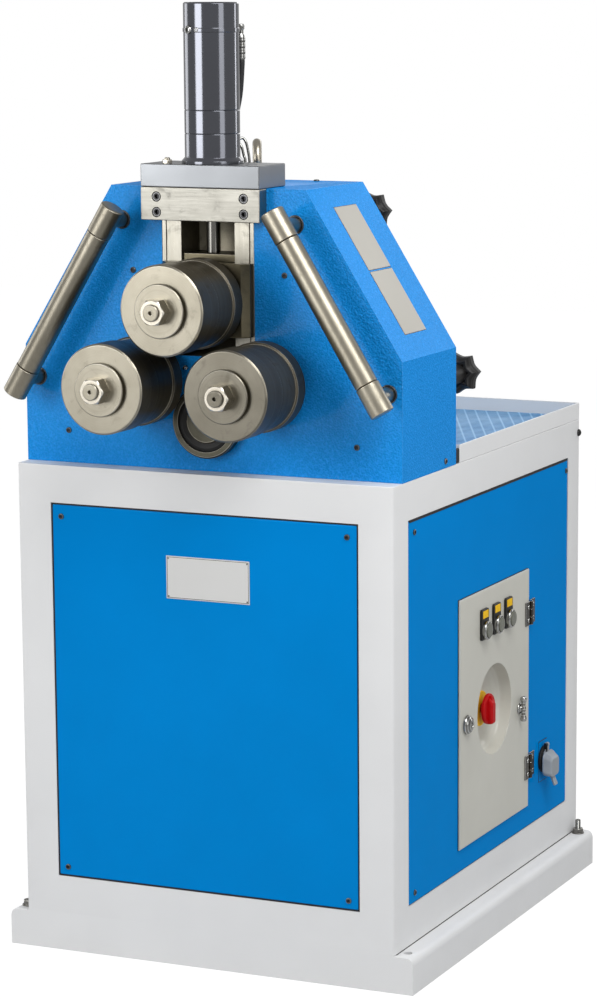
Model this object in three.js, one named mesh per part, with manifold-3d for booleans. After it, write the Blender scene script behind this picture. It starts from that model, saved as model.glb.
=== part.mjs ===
// Ring roller: a floor-standing section bender. A hydraulic cylinder presses the top roll
// down between two driven lower rolls, and two inclined guide rollers steer the ring.
// Millimetres, +Z up. The origin is the middle of the base on the floor, and the rolls face -Y.
import * as THREE from "three";
import { mergeVertices } from "three/addons/utils/BufferGeometryUtils.js";
import Module from "manifold-3d";

const wasm = await Module();
wasm.setup();

// Fits
const gap = 0.3; // seat clearance between pieces that touch
const run = 0.5; // radial clearance of a turning or sliding fit
const overrun = 2; // how far a cutting body passes the faces that it cuts
const weld = 1e-4; // corners nearer than this are one corner

// Facets of round pieces, by how large they show
const fine = 28;
const medium = 20;
const coarse = 12;
const hexagonal = 6;
const cornerSteps = 2;

// Cabinet and base
const cabinet = { width: 630, depth: 790, top: 770, wall: 6, corner: 5 };
const base = { overhang: 30, height: 58, seatRise: 0.5, wall: 6, flange: 62, corner: 12 };
const anchor = { bore: 14, sideInset: 18.5, endInset: 25 };
const panel = { thickness: 2.6, gap: 2, aboveBase: 64, belowTop: 60.5, lip: 14, recess: 0.6 };
const panelInset = { front: 59, side: 57.5 }; // from the cabinet's upright edges
const tray = { height: 28, sheet: 2.5, headGap: 15, rearGap: 3, matThickness: 4, matGap: 3 };

// Head that carries the rolls
const head = { setback: 34, aboveSlide: 111, slopeHeight: 247, topWidth: 322 };
const headPlate = { front: 16, side: 6, roof: 10, rear: 12, rearFrame: 26 };
const slot = { width: 153, belowSlide: 32, depth: 61, cheek: 14, back: 14, floor: 10 };
const rail = { width: 32, strip: 7, groove: 1 };

// Rolls and their shafts
const roll = { radius: 67.5, total: 133.5, front: 56, rear: 29.5, chamfer: 2.5, beforeSlide: 2.4 };
const rollSpacerStep = 3;
const rollPass = 21.94; // clear distance between the top roll and each lower roll
const lowerRoll = { besideSlot: 25, aboveDrive: 60.9 };
const shaft = { journal: 25, seat: 20, thread: 12.5, beyondNut: 4 };
const nut = { acrossCorners: 41, height: 22, washerRadius: 40, washer: 8 };

// Gear train inside the head
const driveAboveCabinet = 76.5;
const driveShaft = { disc: 31, journal: 25, discDepth: 33 };
const bearingCap = { radius: 55, bore: 45, recess: 5, behindRolls: 1.3 };
const gearFace = 30;
const pinionTeeth = 14;
const rollGearTeeth = 28;
const reductionTeeth = 24;
const toothShares = { tipHalf: 0.13, rootHalf: 0.33, addendum: 0.85, dedendum: 1.15 };
const train = { behindSlot: 30, betweenGears: 22, beforeCover: 8 };

// Gear motor and hydraulic power unit inside the cabinet
const gearbox = { width: 130, depth: 100, height: 150 };
const motor = { radius: 70, length: 240, neck: 45, neckLength: 20 };
const outputShaft = { radius: 15, engaged: 55 };
const tank = { depth: 260, height: 250, besideBox: 85, besideFlange: 43 };
const pumpMotor = { radius: 62, length: 210, offset: 40 };

// Press: cross bar, cylinder and slide
const crossbar = { besideSlot: 21.7, height: 49, thickness: 25 };
const block = { beyondBarrel: 3.7, height: 34 };
const barrel = { radius: 41.3, wall: 8.3, height: 236.4, weldLeg: 4.7, weldHeight: 5, floor: 12, edge: 2 };
const piston = { rodRadius: 10.5, length: 26 };
const slide = { railRun: 0.7, belowRoll: 51.1, aboveRoll: 58.9, faceLap: 19, keeperLap: 29.5 };
const slideFace = { thickness: 17, flange: 6, setback: 0.4 };
const slideCap = { height: 12, frontSetback: 5 };
const port = { radius: 7, reach: 8, belowTop: 38, turnShare: 0.193 };

// Pressure hose behind the cylinder
const hose = { radius: 5.5, behindBlock: 1.2, drift: 15, sag: 4, sides: 10, steps: 16 };
const ferrule = { radius: 7, length: 46, footLength: 77.7, nutRadius: 10, nutHeight: 14 };

// Lifting eye on top of the head
const eye = { ring: 24.5, wire: 7, collar: 14, collarHeight: 8, fromRear: 36, turnShare: 0.322 };

// Inclined guide rollers
const guide = { forward: 52, topInset: 30.6, topDrop: 29.4, bottomInset: 8.7, height: 288.1 };
const guideBar = { capRadius: 18.4, rollerStep: 0.7, axle: 7, cap: 48, chamfer: 1 };
const post = { radius: 11, inset: 26, behindHead: 70 };
const knob = { radius: 33, waist: 26, thickness: 25, hub: 15, shank: 56 };
const knobLobes = 7;
const flankSteps = 4;

// Control box in the right side panel
const control = { width: 297, height: 398, depth: 160, rearInset: 184.5, abovePanelFoot: 35.5, wall: 2 };
const door = { thickness: 3 };
const cup = { radius: 71.5, floorRadius: 58, depth: 28, wall: 2, shiftY: -3.5, shiftZ: -2 };
const switchKnob = { radius: 22, base: 8, grip: 16, gripWidth: 16, stem: 6, stemLength: 14 };
const button = { radius: 12, cap: 5.5, stand: 7, stem: 9, stemLength: 24, pitch: 51.5, drop: 63.5 };
const buttonShiftY = -0.9;
const lock = { radius: 15, height: 5, stem: 8, stemLength: 12, inset: 25.5 };
const tee = { bar: 4, length: 38, stand: 6.5, stem: 5, inset: 44, drop: 25, stemLength: 12 };

// Socket for the foot pedal plug, on the right side panel
const socket = { side: 46, flange: 5, barrel: 19, barrelLength: 14, bore: 14, depth: 30 };
const socketPlace = { rearInset: 109.5, abovePanelFoot: 98 };
const flap = { thickness: 4, depth: 18, lip: 16, lipWidth: 14, pin: 2.5, pinLength: 30 };

// Places worked out from the sizes above
const halfWidth = cabinet.width / 2;
const halfDepth = cabinet.depth / 2;
const cabinetFoot = base.height + gap;
const panelBottom = base.height + panel.aboveBase;
const panelTop = cabinet.top - panel.belowTop;
const slotHalf = slot.width / 2;
const lowerRollX = slotHalf + lowerRoll.besideSlot;
const driveHeight = cabinet.top + driveAboveCabinet;
const lowerRollHeight = driveHeight + lowerRoll.aboveDrive;
const topRollHeight = lowerRollHeight + Math.sqrt((2 * roll.radius + rollPass) ** 2 - lowerRollX ** 2);
const slideBottom = topRollHeight - slide.belowRoll;
const slideTop = topRollHeight + slide.aboveRoll;
const slotBottom = slideBottom - slot.belowSlide;
const headTop = slideTop + head.aboveSlide;
const headShoulder = headTop - head.slopeHeight;
const headFront = -halfDepth + head.setback;
const rollGearY = headFront + slot.depth + slot.back + train.behindSlot + gearFace / 2;
const reductionY = rollGearY + gearFace + train.betweenGears;
const coverFront = reductionY + gearFace / 2 + train.beforeCover;
const headRear = coverFront + headPlate.rear;
const slideFront = headFront - slideFace.setback - slideFace.thickness;
const rollRear = slideFront - roll.beforeSlide;
const rollFront = rollRear - roll.total;
const capFront = rollRear + bearingCap.behindRolls;
const tongueHalf = slotHalf - gap - rail.width - slide.railRun;
const barHalf = slotHalf + crossbar.besideSlot;
const barFront = headFront - gap - crossbar.thickness;
const blockHalfDepth = barrel.radius + block.beyondBarrel;
const cylinderY = barFront + blockHalfDepth;
const boreRadius = barrel.radius - barrel.wall;
const blockBottom = headTop + gap;
const blockTop = blockBottom + block.height;
const guideY = headFront - guide.forward;
const guideTop = [head.topWidth / 2 - guide.topInset, headTop - guide.topDrop];
const guideBottom = [halfWidth - guide.bottomInset, guideTop[1] - guide.height];
const shaftRear = headRear - headPlate.rear / 2;
const doorBack = halfWidth + gap;
const doorFace = doorBack + door.thickness;
const panelRear = halfDepth - panelInset.side;
const highY = panelRear - control.rearInset;
const lowY = highY - control.width;
const controlCentreY = (lowY + highY) / 2;
const controlBottom = panelBottom + control.abovePanelFoot;
const controlTop = controlBottom + control.height;
const controlCentreZ = (controlBottom + controlTop) / 2;
const socketCentre = [panelRear - socketPlace.rearInset, panelBottom + socketPlace.abovePanelFoot];
const cupY = controlCentreY + cup.shiftY;
const cupZ = controlCentreZ + cup.shiftZ;
const cupFloor = doorFace - cup.depth;

// Finishes
const finishes = {
  blue: { color: 0x1173bd, roughness: 0.45, metalness: 0.1 },
  lightGrey: { color: 0xd9d9d6, roughness: 0.5, metalness: 0.05 },
  doorGrey: { color: 0xb7b6aa, roughness: 0.5, metalness: 0.05 },
  mat: { color: 0x2c62a8, roughness: 0.85, metalness: 0 },
  groundSteel: { color: 0xcdc4b4, roughness: 0.35, metalness: 0.9 },
  rollSteel: { color: 0x9b9283, roughness: 0.4, metalness: 0.85 },
  darkSteel: { color: 0x33322f, roughness: 0.4, metalness: 0.8 },
  bronzeSteel: { color: 0xa49c88, roughness: 0.3, metalness: 0.95 },
  cylinderGrey: { color: 0x474a52, roughness: 0.25, metalness: 0.5 },
  chrome: { color: 0xd5d7da, roughness: 0.12, metalness: 1 },
  blackPlastic: { color: 0x141414, roughness: 0.45, metalness: 0 },
  rubber: { color: 0x1b1b1b, roughness: 0.7, metalness: 0 },
  red: { color: 0xc4131a, roughness: 0.35, metalness: 0 },
  lens: { color: 0x8f9680, roughness: 0.3, metalness: 0 },
  socketGrey: { color: 0x8b9299, roughness: 0.5, metalness: 0 },
};

// A closed geometry as a solid: corners are merged, collapsed faces dropped, and faces turned outwards.
function solidOf(geometry) {
  const bare = geometry.clone();
  bare.deleteAttribute("normal");
  bare.deleteAttribute("uv");
  const merged = mergeVertices(bare, weld);
  const corners = merged.attributes.position;
  const faces = [];
  let volume = 0;
  const [a, b, c] = [new THREE.Vector3(), new THREE.Vector3(), new THREE.Vector3()];
  for (let i = 0; i < merged.index.count; i += 3) {
    const [p, q, r] = [0, 1, 2].map((k) => merged.index.getX(i + k));
    if (p === q || q === r || r === p) continue;
    faces.push([p, q, r]);
    a.fromBufferAttribute(corners, p);
    b.fromBufferAttribute(corners, q);
    c.fromBufferAttribute(corners, r);
    volume += a.dot(b.cross(c));
  }
  const outward = volume < 0 ? faces.map(([p, q, r]) => [p, r, q]) : faces;
  const vertProperties = new Float32Array(corners.array);
  const triVerts = new Uint32Array(outward.flat());
  return new wasm.Manifold(new wasm.Mesh({ numProp: 3, vertProperties, triVerts }));
}

// The named mesh of a solid, with its own material.
function piece(name, finish, solid) {
  const mesh = solid.getMesh();
  const geometry = new THREE.BufferGeometry();
  geometry.setAttribute("position", new THREE.BufferAttribute(mesh.vertProperties, mesh.numProp));
  geometry.setIndex(new THREE.BufferAttribute(mesh.triVerts, 1));
  const made = new THREE.Mesh(geometry, new THREE.MeshStandardMaterial(finishes[finish]));
  made.name = name;
  return made;
}

const joined = (solids) => solids.reduce((whole, next) => whole.add(next));
const cut = (solid, tools) => tools.reduce((left, tool) => left.subtract(tool), solid);

// A box between two corners, each given as [x, y, z].
function box(low, high) {
  const size = high.map((value, i) => value - low[i]);
  const made = new THREE.BoxGeometry(...size);
  return solidOf(made.translate(...low.map((value, i) => value + size[i] / 2)));
}

// The turn that lays the drawing plane of an outline square to an axis.
const squareTo = {
  x: new THREE.Matrix4().makeBasis(
    new THREE.Vector3(0, 1, 0),
    new THREE.Vector3(0, 0, 1),
    new THREE.Vector3(1, 0, 0),
  ),
  y: new THREE.Matrix4().makeBasis(
    new THREE.Vector3(1, 0, 0),
    new THREE.Vector3(0, 0, 1),
    new THREE.Vector3(0, -1, 0),
  ),
  z: new THREE.Matrix4(),
};

// An outline pulled along an axis from one place to another. Square to x the outline's
// two directions are y and z, square to y they are x and z, and square to z they are x and y.
function pulled(shape, axis, from, to) {
  const made = new THREE.ExtrudeGeometry(shape, { depth: to - from, bevelEnabled: false });
  made.applyMatrix4(squareTo[axis]);
  const start = axis === "y" ? to : from;
  const place = { x: [start, 0, 0], y: [0, start, 0], z: [0, 0, start] }[axis];
  return solidOf(made.translate(...place));
}

// A closed outline of [radius, along] points turned about an axis through a centre [x, y, z].
function turned(profile, axis, centre, sides = fine) {
  const points = [...profile, profile[0]].map(([radius, along]) => new THREE.Vector2(radius, along));
  const made = new THREE.LatheGeometry(points, sides);
  if (axis === "z") made.rotateX(Math.PI / 2);
  if (axis === "x") made.rotateZ(-Math.PI / 2);
  return solidOf(made.translate(...centre));
}

// A plain round bar along an axis, from one place to another on it.
function bar(radius, axis, from, to, centre, sides = fine) {
  const profile = [
    [0, from],
    [radius, from],
    [radius, to],
    [0, to],
  ];
  return turned(profile, axis, centre, sides);
}

// A rectangle with round corners, centred on a point.
function roundedRectangle(width, height, corner, [x, y] = [0, 0]) {
  const [right, top] = [width / 2 - corner, height / 2 - corner];
  const shape = new THREE.Shape();
  shape.absarc(x + right, y + top, corner, 0, Math.PI / 2);
  shape.absarc(x - right, y + top, corner, Math.PI / 2, Math.PI);
  shape.absarc(x - right, y - top, corner, Math.PI, Math.PI * 1.5);
  shape.absarc(x + right, y - top, corner, Math.PI * 1.5, Math.PI * 2);
  return new THREE.Shape(shape.getPoints(cornerSteps));
}

// Base and cabinet

// The folded base box: closed below, with an inward flange. The cabinet stands on a low seat
// between the two ledges that the floor anchors pass through.
function basePlinth() {
  const [x, y] = [halfWidth + base.overhang, halfDepth];
  const outline = roundedRectangle(2 * x, 2 * y, base.corner);
  const ledge = base.height - base.seatRise;
  const seatHalf = halfWidth + gap;
  const seat = box([-seatHalf, -y, ledge - overrun], [seatHalf, y, base.height]);
  const shell = pulled(outline, "z", 0, ledge).add(seat);
  const room = box(
    [-x + base.wall, -y + base.wall, base.wall],
    [x - base.wall, y - base.wall, base.height - base.wall],
  );
  const mouth = box(
    [-x + base.flange + base.overhang, -y + base.flange, base.wall],
    [x - base.flange - base.overhang, y - base.flange, base.height + overrun],
  );
  const [anchorX, anchorY] = [x - anchor.sideInset, y - anchor.endInset];
  const bores = [-1, 1].flatMap((sx) =>
    [-1, 1].map((sy) => {
      const centre = [sx * anchorX, sy * anchorY, 0];
      return bar(anchor.bore / 2, "z", -overrun, base.height + overrun, centre, coarse);
    }),
  );
  return piece("base_plinth", "lightGrey", cut(shell, [room, mouth, ...bores]));
}

// Widths of the four panels, by the side of the cabinet that each one closes.
const frontPanelWidth = cabinet.width - 2 * panelInset.front;
const sidePanelWidth = cabinet.depth - 2 * panelInset.side;
const panelWidths = {
  front: frontPanelWidth,
  rear: frontPanelWidth,
  left: sidePanelWidth,
  right: sidePanelWidth,
};

// A slab of one cabinet side, grown or shrunk by a margin, between two depths below the outer face.
function sideSlab(side, margin, outer, inner) {
  const width = panelWidths[side] / 2 + margin;
  const [low, high] = [panelBottom - margin, panelTop + margin];
  if (side === "front") return box([-width, -halfDepth + outer, low], [width, -halfDepth + inner, high]);
  if (side === "rear") return box([-width, halfDepth - inner, low], [width, halfDepth - outer, high]);
  if (side === "left") return box([-halfWidth + outer, -width, low], [-halfWidth + inner, width, high]);
  return box([halfWidth - inner, -width, low], [halfWidth - outer, width, high]);
}

// The cabinet frame: folded sheet with a stepped window in each side, and a way through its top.
function cabinetFrame() {
  const outline = roundedRectangle(cabinet.width, cabinet.depth, cabinet.corner);
  const shell = pulled(outline, "z", cabinetFoot, cabinet.top);
  const [x, y] = [halfWidth - cabinet.wall, halfDepth - cabinet.wall];
  const room = box([-x, -y, cabinetFoot - overrun], [x, y, cabinet.top - cabinet.wall]);
  const step = panel.recess + panel.thickness + gap;
  const windows = Object.keys(panelWidths).flatMap((side) => [
    sideSlab(side, panel.gap, -overrun, step),
    sideSlab(side, -panel.lip, -overrun, cabinet.wall + overrun),
  ]);
  const reach = gearFace / 2 + overrun;
  const gearWay = box(
    [-reductionPitch, reductionY - reach, cabinet.top - cabinet.wall - overrun],
    [reductionPitch, reductionY + reach, cabinet.top + overrun],
  );
  return piece("cabinet_frame", "lightGrey", cut(shell, [room, ...windows, gearWay]));
}

// A plain panel that sits in a window of the frame, just below its face.
const panelSolid = (side) => sideSlab(side, 0, panel.recess, panel.recess + panel.thickness);

// The right panel is cut out for the control box and for the socket.
function rightPanel() {
  const boxWay = box(
    [0, lowY + control.wall - gap, controlBottom + control.wall - gap],
    [halfWidth + overrun, highY - control.wall + gap, controlTop - control.wall + gap],
  );
  const centre = [0, ...socketCentre];
  const socketWay = bar(socket.barrel + gap, "x", 0, halfWidth + overrun, centre, medium);
  return piece("right_panel", "blue", cut(panelSolid("right"), [boxWay, socketWay]));
}

// The open tray on top of the cabinet behind the head, and the mat that lies in it.
function trayPieces() {
  const from = headRear + tray.headGap;
  const rear = halfDepth - tray.rearGap;
  const floor = cabinet.top + gap;
  const outer = box([-halfWidth, from, floor], [halfWidth, rear, floor + tray.height]);
  const inner = box(
    [-halfWidth + tray.sheet, from + tray.sheet, floor + tray.sheet],
    [halfWidth - tray.sheet, rear - tray.sheet, floor + tray.height + overrun],
  );
  const inset = tray.sheet + tray.matGap;
  const matFloor = floor + tray.sheet + gap;
  const mat = box(
    [-halfWidth + inset, from + inset, matFloor],
    [halfWidth - inset, rear - inset, matFloor + tray.matThickness],
  );
  return [piece("work_tray", "lightGrey", outer.subtract(inner)), piece("tray_mat", "mat", mat)];
}

// Head

// The head's outline seen from the front, drawn in by an inset at the sides and the roof.
function headOutline(side, roof, bottom) {
  const topHalf = head.topWidth / 2;
  const slope = Math.atan2(head.slopeHeight, halfWidth - topHalf);
  const shoulderDrop = side * Math.tan((Math.PI / 2 - slope) / 2);
  const topIn = (side - roof * Math.cos(slope)) / Math.sin(slope);
  const points = [
    [halfWidth - side, bottom],
    [halfWidth - side, headShoulder - shoulderDrop],
    [topHalf - topIn, headTop - roof],
  ];
  const mirrored = points.map(([x, z]) => [-x, z]).reverse();
  return new THREE.Shape([...points, ...mirrored].map(([x, z]) => new THREE.Vector2(x, z)));
}

// Places of the two guides' posts on the head, as [x, z] on the right side.
function postPlaces() {
  const [top, bottom] = [new THREE.Vector2(...guideTop), new THREE.Vector2(...guideBottom)];
  const share = post.inset / top.distanceTo(bottom);
  return [share, 1 - share].map((along) => top.clone().lerp(bottom, along).toArray());
}

// Bores through a wall of the head for the four guide posts.
function postBores(from, to) {
  return [-1, 1].flatMap((side) =>
    postPlaces().map(([x, z]) => bar(post.radius + run, "y", from, to, [side * x, 0, z], coarse)),
  );
}

// The hollow head, open below into the cabinet and behind into its cover.
function headHousing() {
  const foot = cabinet.top + gap;
  const shell = pulled(headOutline(0, 0, foot), "y", headFront, headRear);
  const room = pulled(
    headOutline(headPlate.side, headPlate.roof, foot - overrun),
    "y",
    headFront + headPlate.front,
    coverFront - gap - headPlate.side,
  );
  const rearWindow = pulled(
    headOutline(headPlate.rearFrame, headPlate.rearFrame, foot - overrun),
    "y",
    coverFront - gap - headPlate.side - overrun,
    headRear + overrun,
  );
  const coverSeat = pulled(
    headOutline(headPlate.side, headPlate.roof, foot - overrun),
    "y",
    coverFront - gap,
    headRear + overrun,
  );
  const guidewayBack = headFront + slot.depth + slot.back;
  const guideway = box(
    [-slotHalf - slot.cheek, headFront + headPlate.front - overrun, slotBottom - slot.floor],
    [slotHalf + slot.cheek, guidewayBack, headTop - headPlate.roof + overrun],
  );
  const slideSlot = box(
    [-slotHalf, headFront - overrun, slotBottom],
    [slotHalf, headFront + slot.depth, headTop + overrun],
  );
  const deep = [headFront - overrun, guidewayBack + overrun];
  const rollBores = [-1, 1].map((side) =>
    bar(shaft.journal + run, "y", ...deep, [side * lowerRollX, 0, lowerRollHeight], medium),
  );
  const spigot = bearingCap.radius - bearingCap.recess;
  const driveBore = bar(spigot + gap, "y", ...deep, [0, 0, driveHeight]);
  const bores = [...rollBores, driveBore, ...postBores(headFront - overrun, headRear + overrun)];
  const hollow = cut(shell, [room, rearWindow, coverSeat]).add(guideway);
  return piece("head_housing", "blue", cut(hollow, [slideSlot, ...bores]));
}

// The rear cover, which carries the rear ends of the shafts and lets the posts through.
function headRearCover() {
  const inset = [headPlate.side + gap, headPlate.roof + gap];
  const plate = pulled(headOutline(...inset, cabinet.top + gap), "y", coverFront, headRear);
  const wall = [coverFront - overrun, headRear + overrun];
  const blind = [coverFront - overrun, shaftRear + gap];
  const seats = [-1, 1].map((side) =>
    bar(shaft.journal + run, "y", ...blind, [side * lowerRollX, 0, lowerRollHeight], medium),
  );
  const driveSeat = bar(driveShaft.journal + run, "y", ...blind, [0, 0, driveHeight], medium);
  return piece("head_rear_cover", "blue", cut(plate, [...seats, driveSeat, ...postBores(...wall)]));
}

// A ground rail beside the slide, with a line that marks off its outer strip.
function slideRail(name, side) {
  const outer = slotHalf - gap;
  const front = headFront + gap;
  const spans = [side * (outer - rail.width), side * outer].sort((p, q) => p - q);
  const body = box(
    [spans[0], front, slotBottom + gap],
    [spans[1], headFront + slot.depth - gap, headTop - gap],
  );
  const line = side * (outer - rail.strip);
  const groove = box(
    [line - rail.groove / 2, front - overrun, slotBottom],
    [line + rail.groove / 2, front + rail.groove, headTop],
  );
  return piece(name, "groundSteel", body.subtract(groove));
}

// Press

const crossBar = () =>
  piece(
    "crossbar",
    "groundSteel",
    box(
      [-barHalf, barFront, headTop - crossbar.height],
      [barHalf, headFront - gap, headTop],
    ),
  );

// The flange block that carries the cylinder, bored for the rod.
function cylinderBlock() {
  const body = box(
    [-barHalf, barFront, blockBottom],
    [barHalf, barFront + 2 * blockHalfDepth, blockTop],
  );
  const centre = [0, cylinderY, 0];
  const way = bar(piston.rodRadius + run, "z", blockBottom - overrun, blockTop + overrun, centre, medium);
  return piece("cylinder_block", "cylinderGrey", body.subtract(way));
}

const barrelFoot = blockTop + gap;
const barrelTop = barrelFoot + barrel.height;
const portHeight = barrelTop - port.belowTop;

// The direction of the upper port, from the barrel's axis.
const portTurn = port.turnShare * 2 * Math.PI;

// The cylinder's barrel with its weld ring, closed cap and port boss.
function cylinderBarrel() {
  const weldTop = barrelFoot + barrel.weldHeight;
  const profile = [
    [0, barrelFoot],
    [barrel.radius + barrel.weldLeg, barrelFoot],
    [barrel.radius + barrel.weldLeg, weldTop],
    [barrel.radius, weldTop + barrel.weldLeg],
    [barrel.radius, barrelTop - barrel.edge],
    [barrel.radius - barrel.edge, barrelTop],
    [0, barrelTop],
  ];
  const centre = [0, cylinderY, 0];
  const room = bar(boreRadius, "z", barrelFoot + barrel.floor, barrelTop - barrel.floor, centre);
  const rodWay = [barrelFoot - overrun, barrelFoot + barrel.floor + overrun];
  const way = bar(piston.rodRadius + run, "z", ...rodWay, centre, medium);
  const boss = bar(port.radius, "x", boreRadius + overrun, barrel.radius + port.reach, [0, 0, 0], coarse)
    .rotate([0, 0, THREE.MathUtils.radToDeg(portTurn)])
    .translate([0, cylinderY, portHeight]);
  return piece("cylinder_barrel", "cylinderGrey", cut(turned(profile, "z", centre).add(boss), [room, way]));
}

// The rod with its piston, standing on the slide's cap.
function pistonRod() {
  const foot = slideTop + slideCap.height + gap;
  const middle = barrelFoot + barrel.height / 2;
  const profile = [
    [0, foot],
    [piston.rodRadius, foot],
    [piston.rodRadius, middle],
    [boreRadius - run, middle],
    [boreRadius - run, middle + piston.length],
    [0, middle + piston.length],
  ];
  return piece("piston_rod", "chrome", turned(profile, "z", [0, cylinderY, 0], medium));
}

// The slide: a tongue between the rails, and a face with bevelled sides that runs on them.
function slideBlock() {
  const faceBack = headFront - slideFace.setback;
  const [face, keeper] = [tongueHalf + slide.faceLap, tongueHalf + slide.keeperLap];
  const points = [
    [-face, slideFront],
    [face, slideFront],
    [keeper, faceBack - slideFace.flange],
    [keeper, faceBack],
    [-keeper, faceBack],
    [-keeper, faceBack - slideFace.flange],
  ];
  const outline = new THREE.Shape(points.map(([x, y]) => new THREE.Vector2(x, y)));
  const plate = pulled(outline, "z", slideBottom, slideTop);
  const back = headFront + slot.depth - gap;
  const tongue = box(
    [-tongueHalf, faceBack - slideFace.flange, slideBottom],
    [tongueHalf, back, slideTop],
  );
  const bore = bar(shaft.journal + run, "y", slideFront - overrun, back + overrun, [0, 0, topRollHeight]);
  return piece("slide_block", "darkSteel", plate.add(tongue).subtract(bore));
}

const slideCapPlate = () =>
  piece(
    "slide_cap",
    "rollSteel",
    box(
      [-tongueHalf, headFront + slideCap.frontSetback, slideTop + gap],
      [tongueHalf, headFront + slot.depth - gap, slideTop + slideCap.height],
    ),
  );

// Hose

// How far from the cylinder's axis the hose runs, in the port's direction, to pass behind the block.
const hoseReach = (blockHalfDepth + ferrule.nutRadius + hose.behindBlock) / Math.sin(portTurn);

// A place behind the cylinder's axis, in the port's direction, with a sideways drift.
function behindCylinder(distance, drift, height) {
  const [x, y] = [Math.cos(portTurn) * distance - drift, Math.sin(portTurn) * distance];
  return new THREE.Vector3(x, cylinderY + y, height);
}

// The hose with its elbow, its two crimped ferrules and the union on the head's roof.
function pressureHose() {
  const { drift, sag } = hose;
  const roof = headTop + gap;
  const [top, foot] = [portHeight - ferrule.length, roof + ferrule.footLength];
  const middle = (top + foot) / 2;
  const points = [
    behindCylinder(hoseReach, 0, top + overrun),
    behindCylinder(hoseReach, 0, top - ferrule.radius),
    behindCylinder(hoseReach + sag, drift / 2, middle),
    behindCylinder(hoseReach, drift, foot + ferrule.radius),
    behindCylinder(hoseReach, drift, foot - overrun),
  ];
  const route = new THREE.CatmullRomCurve3(points, false, "centripetal");
  const circle = new THREE.Path().absarc(0, 0, hose.radius, 0, Math.PI * 2);
  const section = new THREE.Shape(circle.getPoints(hose.sides / 2).slice(0, -1));
  const settings = { steps: hose.steps, extrudePath: route, bevelEnabled: false };
  const tube = solidOf(new THREE.ExtrudeGeometry(section, settings));
  const upright = (radius, from, to, { x, y }, sides) => bar(radius, "z", from, to, [x, y, 0], sides);
  const [start, end] = [points[0], points[points.length - 1]];
  const elbow = bar(hose.radius, "x", barrel.radius + port.reach + gap, hoseReach, [0, 0, 0], coarse)
    .rotate([0, 0, THREE.MathUtils.radToDeg(portTurn)])
    .translate([0, cylinderY, portHeight]);
  const fittings = [
    elbow,
    upright(ferrule.radius, top, portHeight + ferrule.radius, start, coarse),
    upright(ferrule.radius, roof, foot, end, coarse),
    upright(ferrule.nutRadius, roof, roof + ferrule.nutHeight, end, hexagonal),
  ];
  return piece("pressure_hose", "rubber", joined([tube, ...fittings]));
}

// Lifting eye

function liftingEye() {
  const [y, foot] = [headRear - eye.fromRear, headTop + gap];
  const ring = solidOf(new THREE.TorusGeometry(eye.ring, eye.wire, coarse, medium).rotateX(Math.PI / 2))
    .rotate([0, 0, THREE.MathUtils.radToDeg(eye.turnShare * 2 * Math.PI)])
    .translate([0, y, foot + eye.collarHeight + eye.ring]);
  const collar = bar(eye.collar, "z", foot, foot + eye.collarHeight, [0, y, 0], medium);
  return piece("lifting_eye", "groundSteel", ring.add(collar));
}

// Rolls

// A hardened ring of a roll, from one place to another along the shaft, chamfered at both rims.
function rollRing(radius, from, to, edge) {
  const bore = shaft.seat + gap;
  const rims = [
    [radius - edge, from],
    [radius, from + edge],
    [radius, to - edge],
    [radius - edge, to],
  ];
  const plain = [
    [radius, from],
    [radius, to],
  ];
  return turned([[bore, from], ...(edge > 0 ? rims : plain), [bore, to]], "y", [0, 0, 0]);
}

// The shaft of a roll: journal behind, seat for the rings, threaded end in front.
function rollShaft(rear) {
  const end = rollFront - nut.washer - nut.height - shaft.beyondNut;
  const shoulder = rollRear + gap;
  return turned(
    [
      [0, end],
      [shaft.thread, end],
      [shaft.thread, rollFront],
      [shaft.seat, rollFront],
      [shaft.seat, shoulder],
      [shaft.journal, shoulder],
      [shaft.journal, rear],
      [0, rear],
    ],
    "y",
    [0, 0, 0],
  );
}

// The clamp nut with the broad washer that it presses on the front ring.
function clampNut() {
  const back = rollFront - gap;
  const front = rollFront - nut.washer;
  const edge = roll.chamfer / 2;
  const washer = turned(
    [
      [0, back],
      [nut.washerRadius, back],
      [nut.washerRadius, front + edge],
      [nut.washerRadius - edge, front],
      [0, front],
    ],
    "y",
    [0, 0, 0],
  );
  const hexagon = bar(nut.acrossCorners / 2, "y", front - nut.height, front + gap, [0, 0, 0], hexagonal);
  const through = [front - nut.height - overrun, back + overrun];
  const bore = bar(shaft.thread + gap, "y", ...through, [0, 0, 0], medium);
  return washer.add(hexagon).subtract(bore);
}

// All pieces of one roll, in a group at its axis. The names start with the roll's own.
function rollGroup(name, x, z, rear) {
  const group = new THREE.Group();
  const frontEnd = rollFront + roll.front;
  const rearStart = rollRear - roll.rear;
  const spacerRadius = roll.radius - rollSpacerStep;
  const rim = roll.chamfer;
  group.add(
    piece(`${name}_shaft`, "rollSteel", rollShaft(rear)),
    piece(`${name}_front_ring`, "rollSteel", rollRing(roll.radius, rollFront, frontEnd - gap, rim)),
    piece(`${name}_spacer_ring`, "darkSteel", rollRing(spacerRadius, frontEnd, rearStart - gap, 0)),
    piece(`${name}_rear_ring`, "darkSteel", rollRing(roll.radius, rearStart, rollRear, rim)),
    piece(`${name}_nut`, "rollSteel", clampNut()),
  );
  group.position.set(x, 0, z);
  return group;
}

// Gears

const gearCentre = Math.hypot(lowerRollX, lowerRoll.aboveDrive);
const gearModule = (2 * gearCentre) / (pinionTeeth + rollGearTeeth);
const reductionPitch = (gearModule * reductionTeeth) / 2;
const motorGearHeight = driveHeight - 2 * reductionPitch;

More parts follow.
